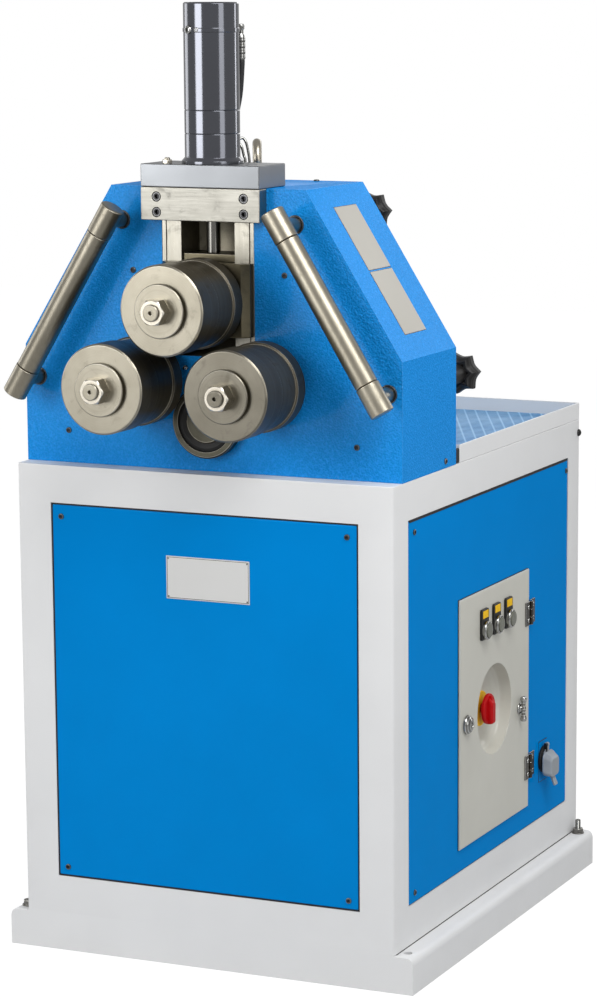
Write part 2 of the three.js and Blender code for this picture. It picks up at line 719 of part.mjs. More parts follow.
// Outline of a spur gear with straight-sided teeth, the first one centred on an angle.
function gearOutline(teeth, phase) {
  const pitch = (2 * Math.PI) / teeth;
  const root = (gearModule * teeth) / 2 - gearModule * toothShares.dedendum;
  const tip = (gearModule * teeth) / 2 + gearModule * toothShares.addendum;
  const corners = [
    [-toothShares.rootHalf, root],
    [-toothShares.tipHalf, tip],
    [toothShares.tipHalf, tip],
    [toothShares.rootHalf, root],
  ];
  const points = [];
  for (let tooth = 0; tooth < teeth; tooth += 1) {
    for (const [share, radius] of corners) {
      const angle = phase + (tooth + share) * pitch;
      points.push(new THREE.Vector2(radius * Math.cos(angle), radius * Math.sin(angle)));
    }
  }
  return new THREE.Shape(points);
}

// A spur gear square to y, centred on [x, z].
function gear(teeth, phase, y, [x, z]) {
  return pulled(gearOutline(teeth, phase), "y", y - gearFace / 2, y + gearFace / 2).translate([x, 0, z]);
}

// The phase that sets a gear in mesh with a driver whose first tooth is at an angle.
function meshedPhase(direction, driverTeeth, driverPhase, teeth) {
  const driverPitch = (2 * Math.PI) / driverTeeth;
  const offset = (direction - driverPhase) / driverPitch;
  return direction + Math.PI + ((offset + 0.5) * 2 * Math.PI) / teeth;
}

// The gear keyed on a lower shaft, meshed with the pinion.
function rollGear(name, side) {
  const direction = Math.atan2(lowerRoll.aboveDrive, side * lowerRollX);
  const phase = meshedPhase(direction, pinionTeeth, Math.PI / 2, rollGearTeeth);
  const place = [side * lowerRollX, lowerRollHeight];
  const reach = gearFace / 2 + overrun;
  const centre = [place[0], 0, place[1]];
  const bore = bar(shaft.journal + gap, "y", rollGearY - reach, rollGearY + reach, centre);
  return piece(name, "darkSteel", gear(rollGearTeeth, phase, rollGearY, place).subtract(bore));
}

// The central shaft: bearing disc in front, roll pinion and reduction wheel behind.
function driveShaftPiece() {
  const front = capFront + overrun;
  const centre = [0, 0, driveHeight];
  const place = [0, driveHeight];
  return piece(
    "drive_shaft",
    "rollSteel",
    joined([
      bar(driveShaft.disc, "y", front, front + driveShaft.discDepth, centre),
      bar(driveShaft.journal, "y", front + driveShaft.discDepth - overrun, shaftRear, centre, medium),
      gear(pinionTeeth, Math.PI / 2, rollGearY, place),
      gear(reductionTeeth, -Math.PI / 2, reductionY, place),
    ]),
  );
}

// The flanged cap around the central shaft, proud of the head's face.
function driveBearingCap() {
  const back = headFront + headPlate.front;
  const inner = driveShaft.disc + run;
  const spigot = bearingCap.radius - bearingCap.recess;
  return piece(
    "drive_bearing_cap",
    "rollSteel",
    turned(
      [
        [inner, capFront + bearingCap.recess],
        [bearingCap.bore, capFront + bearingCap.recess],
        [bearingCap.bore, capFront],
        [bearingCap.radius - roll.chamfer, capFront],
        [bearingCap.radius, capFront + roll.chamfer],
        [bearingCap.radius, headFront - gap],
        [spigot, headFront - gap],
        [spigot, back],
        [inner, back],
      ],
      "y",
      [0, 0, driveHeight],
    ),
  );
}

// Cabinet internals

// The wheel on the gear motor's output shaft, under the reduction wheel.
function motorGear() {
  const phase = meshedPhase(-Math.PI / 2, reductionTeeth, -Math.PI / 2, reductionTeeth);
  const wheel = gear(reductionTeeth, phase, reductionY, [0, motorGearHeight]);
  const start = reductionY - gearFace / 2;
  const centre = [0, 0, motorGearHeight];
  const stub = bar(outputShaft.radius, "y", start - gap - outputShaft.engaged, start + gap, centre, medium);
  return piece("motor_gear", "darkSteel", wheel.add(stub));
}

// The worm gearbox bolted under the cabinet's top, with its motor hanging below.
function gearMotor() {
  const top = cabinet.top - cabinet.wall - gap;
  const back = reductionY - gearFace / 2 - gap;
  const foot = top - gearbox.height;
  const body = box([-gearbox.width / 2, back - gearbox.depth, foot], [gearbox.width / 2, back, top]);
  const centre = [0, back - gearbox.depth / 2, 0];
  const motorTop = foot - motor.neckLength;
  const neck = bar(motor.neck, "z", motorTop - overrun, foot + overrun, centre, medium);
  const can = bar(motor.radius, "z", motorTop - motor.length, motorTop, centre, medium);
  const deep = back - outputShaft.engaged - 2 * gap;
  const bore = bar(outputShaft.radius + run, "y", deep, back + overrun, [0, 0, motorGearHeight], medium);
  return piece("gear_motor", "cylinderGrey", joined([body, neck, can]).subtract(bore));
}

// The oil tank with the pump motor on it, standing on the base's floor.
function hydraulicUnit() {
  const floor = base.wall + gap;
  const right = halfWidth - control.depth - tank.besideBox;
  const left = base.flange + tank.besideFlange - halfWidth;
  const body = box([left, 0, floor], [right, tank.depth, floor + tank.height]);
  const place = [(left + right) / 2 - pumpMotor.offset, tank.depth / 2, 0];
  const lid = floor + tank.height;
  const can = bar(pumpMotor.radius, "z", lid - overrun, lid + pumpMotor.length, place, medium);
  return piece("hydraulic_unit", "cylinderGrey", body.add(can));
}

// Guide rollers

const guideSpread = guideBottom[0] - guideTop[0];
const guideLength = Math.hypot(guideSpread, guide.height);
const guideTilt = Math.atan2(guideSpread, guide.height);

// A solid made upright below the origin, laid along the guide from its top end.
function alongGuide(solid, side) {
  const tilt = THREE.MathUtils.radToDeg(guideTilt);
  return solid.rotate([0, -side * tilt, 0]).translate([side * guideTop[0], guideY, guideTop[1]]);
}

// The fixed part of a guide: end caps on an axle, and two posts that pass through the head.
function guideFrame(side) {
  const { capRadius, axle, cap, chamfer } = guideBar;
  const capAt = (from, to) =>
    turned(
      [
        [0, from],
        [capRadius - chamfer, from],
        [capRadius, from + chamfer],
        [capRadius, to - chamfer],
        [capRadius - chamfer, to],
        [0, to],
      ],
      "z",
      [0, 0, 0],
      medium,
    );
  const rod = bar(axle, "z", -guideLength + overrun, -overrun, [0, 0, 0], coarse);
  const onBar = alongGuide(joined([capAt(-guideLength, cap - guideLength), capAt(-cap, 0), rod]), side);
  const posts = postPlaces().map(([x, z]) =>
    bar(post.radius, "y", guideY, headRear + post.behindHead, [side * x, 0, z], medium),
  );
  return joined([onBar, ...posts]);
}

// The free roller between the end caps.
function guideRoller(side) {
  const [bore, radius] = [guideBar.axle + run, guideBar.capRadius - guideBar.rollerStep];
  const [from, to] = [guideBar.cap + gap - guideLength, -guideBar.cap - gap];
  const profile = [
    [bore, from],
    [radius, from],
    [radius, to],
    [bore, to],
  ];
  return alongGuide(turned(profile, "z", [0, 0, 0], medium), side);
}

// Outline of a star knob: hollow flanks between sharp points.
function starOutline() {
  const points = [];
  for (let lobe = 0; lobe < knobLobes; lobe += 1) {
    for (let step = 0; step < flankSteps; step += 1) {
      const share = step / flankSteps;
      const radius = knob.radius - (knob.radius - knob.waist) * Math.sin(Math.PI * share);
      const angle = ((lobe + share) * 2 * Math.PI) / knobLobes;
      points.push(new THREE.Vector2(radius * Math.cos(angle), radius * Math.sin(angle)));
    }
  }
  return new THREE.Shape(points);
}

// A star knob with a long hub, threaded on the rear end of a post.
function starKnob(side, [x, z]) {
  const hubFront = headRear + gap;
  const starFront = hubFront + knob.shank;
  const star = pulled(starOutline(), "y", starFront, starFront + knob.thickness);
  const hub = bar(knob.hub, "y", hubFront, starFront + overrun, [0, 0, 0], coarse);
  const through = [hubFront - overrun, starFront + knob.thickness + overrun];
  const bore = bar(post.radius + run, "y", ...through, [0, 0, 0], coarse);
  return star.add(hub).subtract(bore).translate([side * x, 0, z]);
}

// All pieces of one guide. The names start with the side's.
function guideGroup(name, side) {
  const [upper, lower] = postPlaces();
  const group = new THREE.Group();
  group.add(
    piece(`${name}_guide_frame`, "bronzeSteel", guideFrame(side)),
    piece(`${name}_guide_roller`, "bronzeSteel", guideRoller(side)),
    piece(`${name}_upper_knob`, "blackPlastic", starKnob(side, upper)),
    piece(`${name}_lower_knob`, "blackPlastic", starKnob(side, lower)),
  );
  return group;
}

// Control box

// The sheet box let into the right panel, open towards the door.
function controlBox() {
  const inset = control.wall;
  const outer = box(
    [halfWidth - control.depth, lowY + inset, controlBottom + inset],
    [halfWidth, highY - inset, controlTop - inset],
  );
  const inner = box(
    [halfWidth - control.depth + inset, lowY + 2 * inset, controlBottom + 2 * inset],
    [halfWidth + overrun, highY - 2 * inset, controlTop - 2 * inset],
  );
  return piece("control_box", "doorGrey", outer.subtract(inner));
}

const buttonRow = [controlCentreY + buttonShiftY, controlTop - button.drop];
const buttonPlaces = [-1, 0, 1].map((step) => [buttonRow[0] + step * button.pitch, buttonRow[1]]);
const lockPlace = [lowY + lock.inset, cupZ];
const teePlace = [highY - tee.inset, controlCentreZ - tee.drop];

// The door plate with the round cup of the main switch, and ways for what it carries.
function controlDoor() {
  const plate = box([doorBack, lowY, controlBottom], [doorFace, highY, controlTop]);
  const centre = [0, cupY, cupZ];
  const hollow = (inset, overshoot) =>
    turned(
      [
        [0, cupFloor - inset],
        [cup.floorRadius + inset, cupFloor - inset],
        [cup.radius + inset, cupFloor + (doorFace - cupFloor) / 2],
        [cup.radius + inset, doorFace + overshoot],
        [0, doorFace + overshoot],
      ],
      "x",
      centre,
    );
  const through = [cupFloor - cup.depth, doorFace + overrun];
  const way = (radius, [y, z]) => bar(radius, "x", ...through, [0, y, z], coarse);
  const ways = [
    way(switchKnob.stem + run, [cupY, cupZ]),
    ...buttonPlaces.map((place) => way(button.stem + run, place)),
    way(lock.stem + run, lockPlace),
    way(tee.stem + run, teePlace),
  ];
  const bowl = plate.add(hollow(cup.wall, 0));
  return piece("control_door", "doorGrey", cut(bowl, [hollow(0, overrun), ...ways]));
}

// The red handle of the main switch, turning in the floor of the cup.
function switchHandle() {
  const from = cupFloor + gap;
  const centre = [0, cupY, cupZ];
  const disc = bar(switchKnob.radius, "x", from, from + switchKnob.base, centre, medium);
  const grip = box(
    [from, cupY - switchKnob.gripWidth / 2, cupZ - switchKnob.radius],
    [from + switchKnob.base + switchKnob.grip, cupY + switchKnob.gripWidth / 2, cupZ + switchKnob.radius],
  );
  const stem = bar(switchKnob.stem, "x", from - switchKnob.stemLength, from + overrun, centre, coarse);
  return piece("main_switch_handle", "red", joined([disc, grip, stem]));
}

// A push button that travels into the door.
function pushButton(name, [y, z]) {
  const from = doorFace + button.stand;
  const cap = bar(button.radius, "x", from, from + button.cap, [0, y, z], medium);
  const stem = bar(button.stem, "x", from - button.stemLength, from + overrun, [0, y, z], coarse);
  return piece(name, "lens", cap.add(stem));
}

// The quarter-turn lock of the door.
function doorLock() {
  const from = doorFace + gap;
  const [y, z] = lockPlace;
  const profile = [
    [0, from],
    [lock.radius, from],
    [lock.radius, from + lock.height / 2],
    [lock.radius / 2, from + lock.height],
    [0, from + lock.height],
  ];
  const stem = bar(lock.stem, "x", from - lock.stemLength, from + overrun, [0, y, z], coarse);
  return piece("door_lock", "chrome", turned(profile, "x", [0, y, z], medium).add(stem));
}

// The small tee handle beside the hinges.
function teeHandle() {
  const [y, z] = teePlace;
  const out = doorFace + tee.stand;
  const stem = bar(tee.stem, "x", doorFace - tee.stemLength, out, [0, y, z], coarse);
  const grip = bar(tee.bar, "z", -tee.length / 2, tee.length / 2, [out, y, z], coarse);
  return piece("tee_handle", "chrome", stem.add(grip));
}

// Socket

// The square socket on the side panel: flange, barrel behind it, and the bore for the plug.
function socketBody() {
  const { side, flange } = socket;
  const face = halfWidth - panel.recess + gap;
  const shape = roundedRectangle(side, side, flange, socketCentre);
  const plate = pulled(shape, "x", face, face + flange);
  const centre = [0, ...socketCentre];
  const body = bar(socket.barrel, "x", face - socket.depth, face + socket.barrelLength, centre, medium);
  const bore = bar(socket.bore, "x", face - socket.depth / 2, face + socket.depth, centre, medium);
  return piece("pedal_socket", "blackPlastic", plate.add(body).subtract(bore));
}

// The spring flap over the socket, hung on a pin along its upper edge, with a lip to lift it by.
function socketFlap() {
  const face = halfWidth - panel.recess + gap + socket.flange + gap;
  const front = face + flap.depth;
  const [y, z] = socketCentre;
  const half = socket.side / 2;
  const hood = pulled(roundedRectangle(socket.side, socket.side, socket.flange, [y, z]), "x", face, front);
  const roomRadius = socket.barrel + run;
  const room = bar(roomRadius, "x", face - overrun, front - flap.thickness, [0, y, z], medium);
  const lip = box(
    [front - flap.thickness, y - flap.lipWidth / 2, z - half - flap.lip],
    [front, y + flap.lipWidth / 2, z],
  );
  const pinEnds = [y - flap.pinLength / 2, y + flap.pinLength / 2];
  const pin = bar(flap.pin, "y", ...pinEnds, [face + flap.pin, 0, z + half + flap.pin - gap], coarse);
  return piece("socket_flap", "socketGrey", joined([hood.subtract(room), lip, pin]));
}

const rollShaftRear = headFront + slot.depth - gap;
const lowerRolls = [
  ["left_roll", -1],
  ["right_roll", 1],
];

const ringRoller = new THREE.Group();
ringRoller.add(
  basePlinth(),
  cabinetFrame(),
  piece("front_panel", "blue", panelSolid("front")),
  piece("left_panel", "blue", panelSolid("left")),
  piece("rear_panel", "blue", panelSolid("rear")),
  rightPanel(),
  ...trayPieces(),
  headHousing(),
  headRearCover(),
  slideRail("left_slide_rail", -1),
  slideRail("right_slide_rail", 1),
  crossBar(),
  cylinderBlock(),
  cylinderBarrel(),
  pistonRod(),
  slideBlock(),
  slideCapPlate(),
  pressureHose(),
  liftingEye(),
  rollGroup("top_roll", 0, topRollHeight, rollShaftRear),
  ...lowerRolls.map(([name, side]) =>
    rollGroup(name, side * lowerRollX, lowerRollHeight, shaftRear),
  ),
  ...lowerRolls.map(([name, side]) => rollGear(`${name}_gear`, side)),
  driveBearingCap(),
  driveShaftPiece(),
  motorGear(),
  gearMotor(),
  hydraulicUnit(),
  guideGroup("left", -1),
  guideGroup("right", 1),
  controlBox(),
  controlDoor(),
  switchHandle(),
  ...buttonPlaces.map((place, i) => pushButton(`push_button_${i + 1}`, place)),
  doorLock(),
  teeHandle(),
  socketBody(),
  socketFlap(),
);

export default ringRoller;
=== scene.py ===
"""Looks of a floor-standing ring roller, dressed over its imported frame.

Sizes are millimetres in the part's own frame: +Z up, the rolls face -Y, and the origin is the
middle of the base on the floor. They become metres where a surface is put into its mesh.
"""
import logging
import math
from dataclasses import dataclass
from enum import Enum
from typing import Sequence

import bmesh
import bpy
import numpy as np
from mathutils import Matrix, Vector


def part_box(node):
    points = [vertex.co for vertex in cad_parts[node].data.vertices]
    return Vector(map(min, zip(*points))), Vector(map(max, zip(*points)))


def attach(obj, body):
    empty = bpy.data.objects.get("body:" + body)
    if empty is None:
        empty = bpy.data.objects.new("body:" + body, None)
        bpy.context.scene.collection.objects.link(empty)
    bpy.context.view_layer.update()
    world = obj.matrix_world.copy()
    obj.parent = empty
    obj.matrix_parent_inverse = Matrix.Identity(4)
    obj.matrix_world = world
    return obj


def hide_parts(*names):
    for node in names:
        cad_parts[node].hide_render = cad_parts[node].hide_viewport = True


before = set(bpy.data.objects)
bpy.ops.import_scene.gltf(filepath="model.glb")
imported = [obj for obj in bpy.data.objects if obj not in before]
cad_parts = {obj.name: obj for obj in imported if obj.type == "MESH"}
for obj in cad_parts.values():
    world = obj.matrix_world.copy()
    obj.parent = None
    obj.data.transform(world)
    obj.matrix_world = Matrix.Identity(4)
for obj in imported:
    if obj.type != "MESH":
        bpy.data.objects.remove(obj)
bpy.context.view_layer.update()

log = logging.getLogger("ring_roller")

Array = np.ndarray
Vec = tuple[float, float, float]
Pair = tuple[float, float]
Colour = tuple[float, float, float]
Outline = Sequence[Sequence[float]]
Socket = bpy.types.NodeSocket
Node = bpy.types.Node

MM = 0.001
WHITE = (1.0, 1.0, 1.0)

# Points round a turned piece, from the largest pieces to the smallest
BIG_ROUND = 128
ROUND = 96
MIDDLE_ROUND = 64
LESSER_ROUND = 48
SMALL_ROUND = 36

# An edge is smooth below the first angle, and the triangles of a flat face differ by less than
# the second. Corners closer than the distance, in metres, are one.
SHARP_ANGLE = math.radians(34)
FLAT_ANGLE = math.radians(0.6)
MERGE_DISTANCE = 2e-5


class Axis(Enum):
    """A main direction of the part."""

    X = (1.0, 0.0, 0.0)
    Y = (0.0, 1.0, 0.0)
    Z = (0.0, 0.0, 1.0)


class Body(Enum):
    """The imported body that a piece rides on."""

    MACHINE = "machine"
    SLIDE = "press_slide"
    DRIVE = "drive_train"
    DOOR = "door"
    SWITCH = "main_switch"
    LOCK = "lock"
    TEE = "tee"
    FLAP = "flap"


Way = Axis | Sequence[float]


def heading(way: Way) -> Array:
    """A direction as an array of x, y and z."""
    return np.array(way.value if isinstance(way, Axis) else way, float)


# Surfaces


@dataclass
class Shell:
    """A closed surface.

    Attributes:
        points: corners, one row of x, y, z each.
        faces: corner numbers of each face, turned outwards.
        edge: how much of an edge each corner is, from 0 on a flat to 1 on a rounding.
    """

    points: Array
    faces: list[list[int]]
    edge: Array


def outward(points: Array, faces: list[Array]) -> list[list[int]]:
    """Turns the faces of one closed surface outwards.

    The signed volume is a sixth of the sum, over the triangles of every face, of the first
    corner times the cross product of the other two. Where it is negative, all faces turn round.

    Args:
        points: corners of the surface.
        faces: arrays of faces, each array with one face a row.

    Returns:
        The faces as lists of corner numbers.
    """
    centred = points - points.mean(axis=0)
    volume = 0.0
    for block in faces:
        first = centred[block[:, :1]]
        second, third = centred[block[:, 1:-1]], centred[block[:, 2:]]
        volume += float((first * np.cross(second, third)).sum())
    turned = [block[:, ::-1] if volume < 0 else block for block in faces]
    return [face for block in turned for face in block.tolist()]


def through_rows(rows: Array, edge: Array | None = None, looped: bool = False) -> Shell:
    """A closed surface through rows of points.

    Point j of row i is joined to its neighbours in the row and in the next row, and the last
    point of a row to its first. The two end rows are closed flat, or joined to each other.

    Args:
        rows: points, as rows, points of a row, and x, y, z.
        edge: how much of an edge each row or each point is.
        looped: whether the last row joins the first.

    Returns:
        The surface.
    """
    count, across = rows.shape[:2]
    number = np.arange(count * across).reshape(count, across)
    low, high = (number, np.roll(number, -1, axis=0)) if looped else (number[:-1], number[1:])
    quads = np.stack([low, np.roll(low, -1, axis=1), np.roll(high, -1, axis=1), high], axis=-1)
    blocks = [quads.reshape(-1, 4)]
    if not looped:
        blocks += [number[:1, ::-1], number[-1:]]
    points = rows.reshape(-1, 3)
    marks = np.zeros(number.shape) if edge is None else np.broadcast_to(edge.reshape(count, -1), number.shape)
    return Shell(points, outward(points, blocks), marks.reshape(-1).copy())


def joined(*shells: Shell) -> Shell:
    """Several closed surfaces as one mesh.

    Args:
        shells: the surfaces.

    Returns:
        One surface that holds them all.
    """
    starts = np.cumsum([0] + [len(shell.points) for shell in shells[:-1]])
    faces = [[corner + int(start) for corner in face] for start, shell in zip(starts, shells)
             for face in shell.faces]
    points = np.concatenate([shell.points for shell in shells])
    return Shell(points, faces, np.concatenate([shell.edge for shell in shells]))


def placed(shell: Shell, origin: Vec, u: Way, v: Way, w: Way) -> Shell:
    """A surface set on other axes: each point is origin + x * u + y * v + z * w."""
    points = np.array(origin) + shell.points @ np.array([heading(u), heading(v), heading(w)])
    return Shell(points, outward(points, by_size(shell.faces)), shell.edge)


def by_size(faces: list[list[int]]) -> list[Array]:
    """Faces sorted into arrays, one for each number of corners."""
    sizes = sorted({len(face) for face in faces})
    return [np.array([face for face in faces if len(face) == size]) for size in sizes]


def eased(corners: Outline, radius: float | Sequence[float], looped: bool = False,
          steps: int = 3) -> tuple[Array, Array]:
    """A profile with its corners rounded.

    At each corner P the curve runs from A to B, which lie up to the radius before and after it,
    as (1-t)^2 A + 2t(1-t) P + t^2 B.

    Args:
        corners: profile corners, as rows of two numbers.
        radius: how far from a corner its rounding starts, for all corners or for each.
        looped: whether the profile closes on itself.
        steps: pieces of each rounding.

    Returns:
        The points, and how much of an edge each one is.
    """
    line = np.array(corners, float)
    before, after = np.roll(line, 1, axis=0), np.roll(line, -1, axis=0)
    back, ahead = before - line, after - line
    length_back = np.linalg.norm(back, axis=1, keepdims=True)
    length_ahead = np.linalg.norm(ahead, axis=1, keepdims=True)
    reach = np.broadcast_to(np.array(radius, float).reshape(-1, 1), length_back.shape)
    cut_back = np.minimum(reach, 0.45 * length_back) / np.maximum(length_back, 1e-9)
    cut_ahead = np.minimum(reach, 0.45 * length_ahead) / np.maximum(length_ahead, 1e-9)
    start, end = (line + back * cut_back)[:, None], (line + ahead * cut_ahead)[:, None]
    t = np.linspace(0, 1, steps + 1)[None, :, None]
    curve = (1 - t) ** 2 * start + 2 * t * (1 - t) * line[:, None] + t**2 * end
    mark = np.broadcast_to(np.sin(np.pi * t[0, :, 0]), curve.shape[:2])
    if looped:
        return curve.reshape(-1, 2), mark.reshape(-1)
    inner = curve[1:-1].reshape(-1, 2)
    points = np.concatenate([line[:1], inner, line[-1:]])
    return points, np.concatenate([[0], mark[1:-1].reshape(-1), [0]])


def across(axis: Way) -> tuple[Array, Array, Array]:
    """A unit axis and two unit directions square to it and to each other.

    Args:
        axis: the direction, of any length.

    Returns:
        The unit axis, and the two directions.
    """
    given = heading(axis)
    along = given / np.linalg.norm(given)
    reference = np.array([0, 0, 1.0]) if abs(along[2]) < 0.9 else np.array([0, 1.0, 0])
    u = np.cross(reference, along)
    u /= np.linalg.norm(u)
    return along, u, np.cross(along, u)


def stacked(along: Array, radii: Array, origin: Vec, axis: Way, edge: Array | None = None,
            looped: bool = False, turn: float = 0.0) -> Shell:
    """Rows of points around an axis.

    Point j of row i is origin + along_i * axis + radius_ij * (cos(a_j) * u + sin(a_j) * v),
    with a_j going once round.

    Args:
        along: place of each row on the axis.
        radii: radius of each point, as rows and points of a row.
        origin: the axis passes through it.
        axis: direction of the axis.
        edge: how much of an edge each row is.
        looped: whether the last row joins the first.
        turn: angle of the first point, in radians.

    Returns:
        The surface.
    """
    direction, u, v = across(axis)
    angle = turn + np.linspace(0, 2 * np.pi, radii.shape[1], endpoint=False)
    ring = np.cos(angle)[:, None] * u + np.sin(angle)[:, None] * v
    rows = np.array(origin) + along[:, None, None] * direction + radii[:, :, None] * ring[None]
    return through_rows(rows, edge, looped)


def lathed(profile: Outline, origin: Vec, axis: Way, ease: float = 0.5, sides: int = ROUND,
           looped: bool = False) -> Shell:
    """A profile turned once round an axis.

    Args:
        profile: its corners, each as radius and place along the axis.
        origin: the axis passes through it.
        axis: direction of the axis.
        ease: how far from a corner its rounding starts.
        sides: points of each row.
        looped: whether the profile closes on itself, as a ring's does.

    Returns:
        The surface. An open profile ends in two flat ends.
    """
    points, edge = eased(profile, ease, looped)
    return stacked(points[:, 1], np.repeat(points[:, :1], sides, axis=1), origin, axis, edge, looped)


def polygon_radius(sides: int, corner_radius: float, count: int = ROUND) -> Array:
    """Radius of a regular polygon at even angles: apothem / cos(angle from the flat's middle).

    Args:
        sides: how many sides it has.
        corner_radius: radius over its corners.
        count: how many angles.

    Returns:
        A radius for each angle.
    """
    step = 2 * np.pi / sides
    angle = np.linspace(0, 2 * np.pi, count, endpoint=False)
    return corner_radius * math.cos(step / 2) / np.cos((angle % step) - step / 2)


def hexagon_nut(corner_radius: float, start: float, end: float, origin: Vec, axis: Way,
                bore: float = 0.0) -> Shell:
    """A hexagon whose corners are turned off at both ends.

    The radius of each row is the lesser of the hexagon's and of a cone's.

    Args:
        corner_radius: radius over the corners.
        start: place of one end along the axis.
        end: place of the other end.
        origin: the axis passes through it.
        axis: direction of the axis.
        bore: radius of the hole, where there is one.

    Returns:
        The surface.
    """
    flat = polygon_radius(6, corner_radius)
    cone = corner_radius * np.array([0.85, 0.91, 0.96, 1.0])
    heights = corner_radius * 0.12 * np.array([0.0, 0.45, 0.9, 1.7])
    along = np.concatenate([start + heights, (end - heights)[::-1]])
    radii = np.minimum(flat[None], np.concatenate([cone, cone[::-1]])[:, None])
    edge = np.array([0.4, 1, 0.6, 0, 0, 0.6, 1, 0.4])
    if bore:
        along = np.concatenate([along, [end, start]])
        radii = np.concatenate([radii, np.full((2, radii.shape[1]), bore)])
        edge = np.concatenate([edge, [0, 0]])
    return stacked(along, radii, origin, axis, edge, looped=bool(bore))


def rounded_block(low: Sequence[float], high: Sequence[float], radius: float, steps: int = 3) -> Shell:
    """A block with all edges rounded.

    With f and a as latitude and longitude, a point is the nearest corner of the block drawn in
    by the radius, plus radius * (cos f cos a, cos f sin a, sin f).

    Args:
        low: lowest corner.
        high: highest corner.
        radius: radius of the rounding.
        steps: pieces of each quarter rounding.

    Returns:
        The surface.
    """
    low_corner, high_corner = np.array(low, float), np.array(high, float)
    centre, half = (low_corner + high_corner) / 2, (high_corner - low_corner) / 2
    bend = min(radius, 0.49 * float(2 * half.min()))
    quarter = np.linspace(0, np.pi / 2, steps + 1)
    longitude = (quarter[None] + np.arange(4)[:, None] * np.pi / 2).reshape(-1)
    sign_x = np.repeat([1, -1, -1, 1], steps + 1)
    sign_y = np.repeat([1, 1, -1, -1], steps + 1)
    latitude = np.concatenate([quarter - np.pi / 2, quarter])
    sign_z = np.repeat([-1, 1], steps + 1)
    x = sign_x * (half[0] - bend) + bend * np.cos(latitude)[:, None] * np.cos(longitude)
    y = sign_y * (half[1] - bend) + bend * np.cos(latitude)[:, None] * np.sin(longitude)
    z = np.broadcast_to((sign_z * (half[2] - bend) + bend * np.sin(latitude))[:, None], x.shape)
    on_arc = np.sin(2 * np.tile(quarter, 4))[None] * (np.cos(latitude)[:, None] > 0.3)
    edge = np.maximum(np.abs(np.sin(2 * latitude))[:, None], on_arc)
    return through_rows(np.stack([x, y, z], axis=-1) + centre, edge)


def rectangles(half_a: float | Array, half_b: float | Array, corner: float | Array, inset: Array,
               height: Array, steps: int = 5) -> Array:
    """Rounded rectangles, one a row.

    Each point is the centre of its corner, drawn in by the row's inset, plus the corner's radius
    along the point's angle.

    Args:
        half_a: half of the width, for all rows or for each.
        half_b: half of the length, for all rows or for each.
        corner: radius of the corners, for all rows or for each.
        inset: how far each row is drawn in.
        height: height of each row.
        steps: pieces of each corner.

    Returns:
        Rows of points.
    """
    quarter = np.linspace(0, np.pi / 2, steps + 1)
    angle = (quarter[None] + np.arange(4)[:, None] * np.pi / 2).reshape(-1)
    side_a = np.repeat([1, -1, -1, 1], steps + 1)
    side_b = np.repeat([1, 1, -1, -1], steps + 1)
    half_a, half_b, corner, drawn = (np.reshape(value, (-1, 1)) for value in (half_a, half_b, corner, inset))
    a = side_a * (half_a - corner - drawn) + corner * np.cos(angle)
    b = side_b * (half_b - corner - drawn) + corner * np.sin(angle)
    return np.stack([a, b, np.broadcast_to(height[:, None], a.shape)], axis=-1)


def slab(half_a: float, half_b: float, depth: float, ease: float, corner: float = 2.0) -> Shell:
    """A flat plate whose front edge is rounded: its rows are drawn in as a quarter circle.

    Args:
        half_a: half of the width.
        half_b: half of the length.
        depth: height of the plate.
        ease: radius of the rounding.
        corner: radius of the corners.

    Returns:
        The surface.
    """
    bend = np.linspace(0, np.pi / 2, 6)
    inset = np.concatenate([[0.0], ease * (1 - np.cos(bend))])
    height = np.concatenate([[0.0], depth - ease * (1 - np.sin(bend))])
    edge = np.concatenate([[0.0], np.sin(2 * bend)])
    return through_rows(rectangles(half_a, half_b, corner, inset, height), edge)


def rim(half_a: float, half_b: float, width: float, low: float, high: float, corner: float = 1.0) -> Shell:
    """A rectangular ring: two outer rectangles and two drawn in by the width, in a loop."""
    inset, height = np.array([0.0, 0.0, width, width]), np.array([low, high, high, low])
    return through_rows(rectangles(half_a, half_b, corner, inset, height), looped=True)


def swept(route: Array, radius: float, sides: int = 24) -> Shell:
    """A round bar along a route: circles square to the direction from each point's neighbours.

    Args:
        route: points of the bar's middle line.
        radius: radius of the bar.
        sides: points of each circle.

    Returns:
        The surface.
    """
    direction = np.gradient(route, axis=0)
    direction /= np.linalg.norm(direction, axis=1, keepdims=True)
    side = np.cross(direction, np.array([0.31, 0.95, 0.05]))
    side /= np.linalg.norm(side, axis=1, keepdims=True)
    other = np.cross(direction, side)
    angle = np.linspace(0, 2 * np.pi, sides, endpoint=False)
    ring = np.cos(angle)[None, :, None] * side[:, None] + np.sin(angle)[None, :, None] * other[:, None]
    return through_rows(route[:, None] + radius * ring)


def smooth_route(knots: Sequence[Vec], count: int = 40) -> Array:
    """Evenly stepped points on the smooth curve through a few knots.

    Between knots P1 and P2 the curve is the Catmull-Rom cubic of P0, P1, P2 and P3.

    Args:
        knots: the places that the curve passes through.
        count: how many points it gets.

    Returns:
        The points.
    """
    points = np.array(knots, float)
    padded = np.concatenate([[2 * points[0] - points[1]], points, [2 * points[-1] - points[-2]]])
    place = np.linspace(0, len(points) - 1, count)
    index = np.minimum(place.astype(int), len(points) - 2)
    t = (place - index)[:, None]
    p0, p1, p2, p3 = (padded[index + k] for k in range(4))
    bend, twist = 2 * p0 - 5 * p1 + 4 * p2 - p3, 3 * p1 - p0 - 3 * p2 + p3
    return 0.5 * (2 * p1 + (p2 - p0) * t + bend * t**2 + twist * t**3)


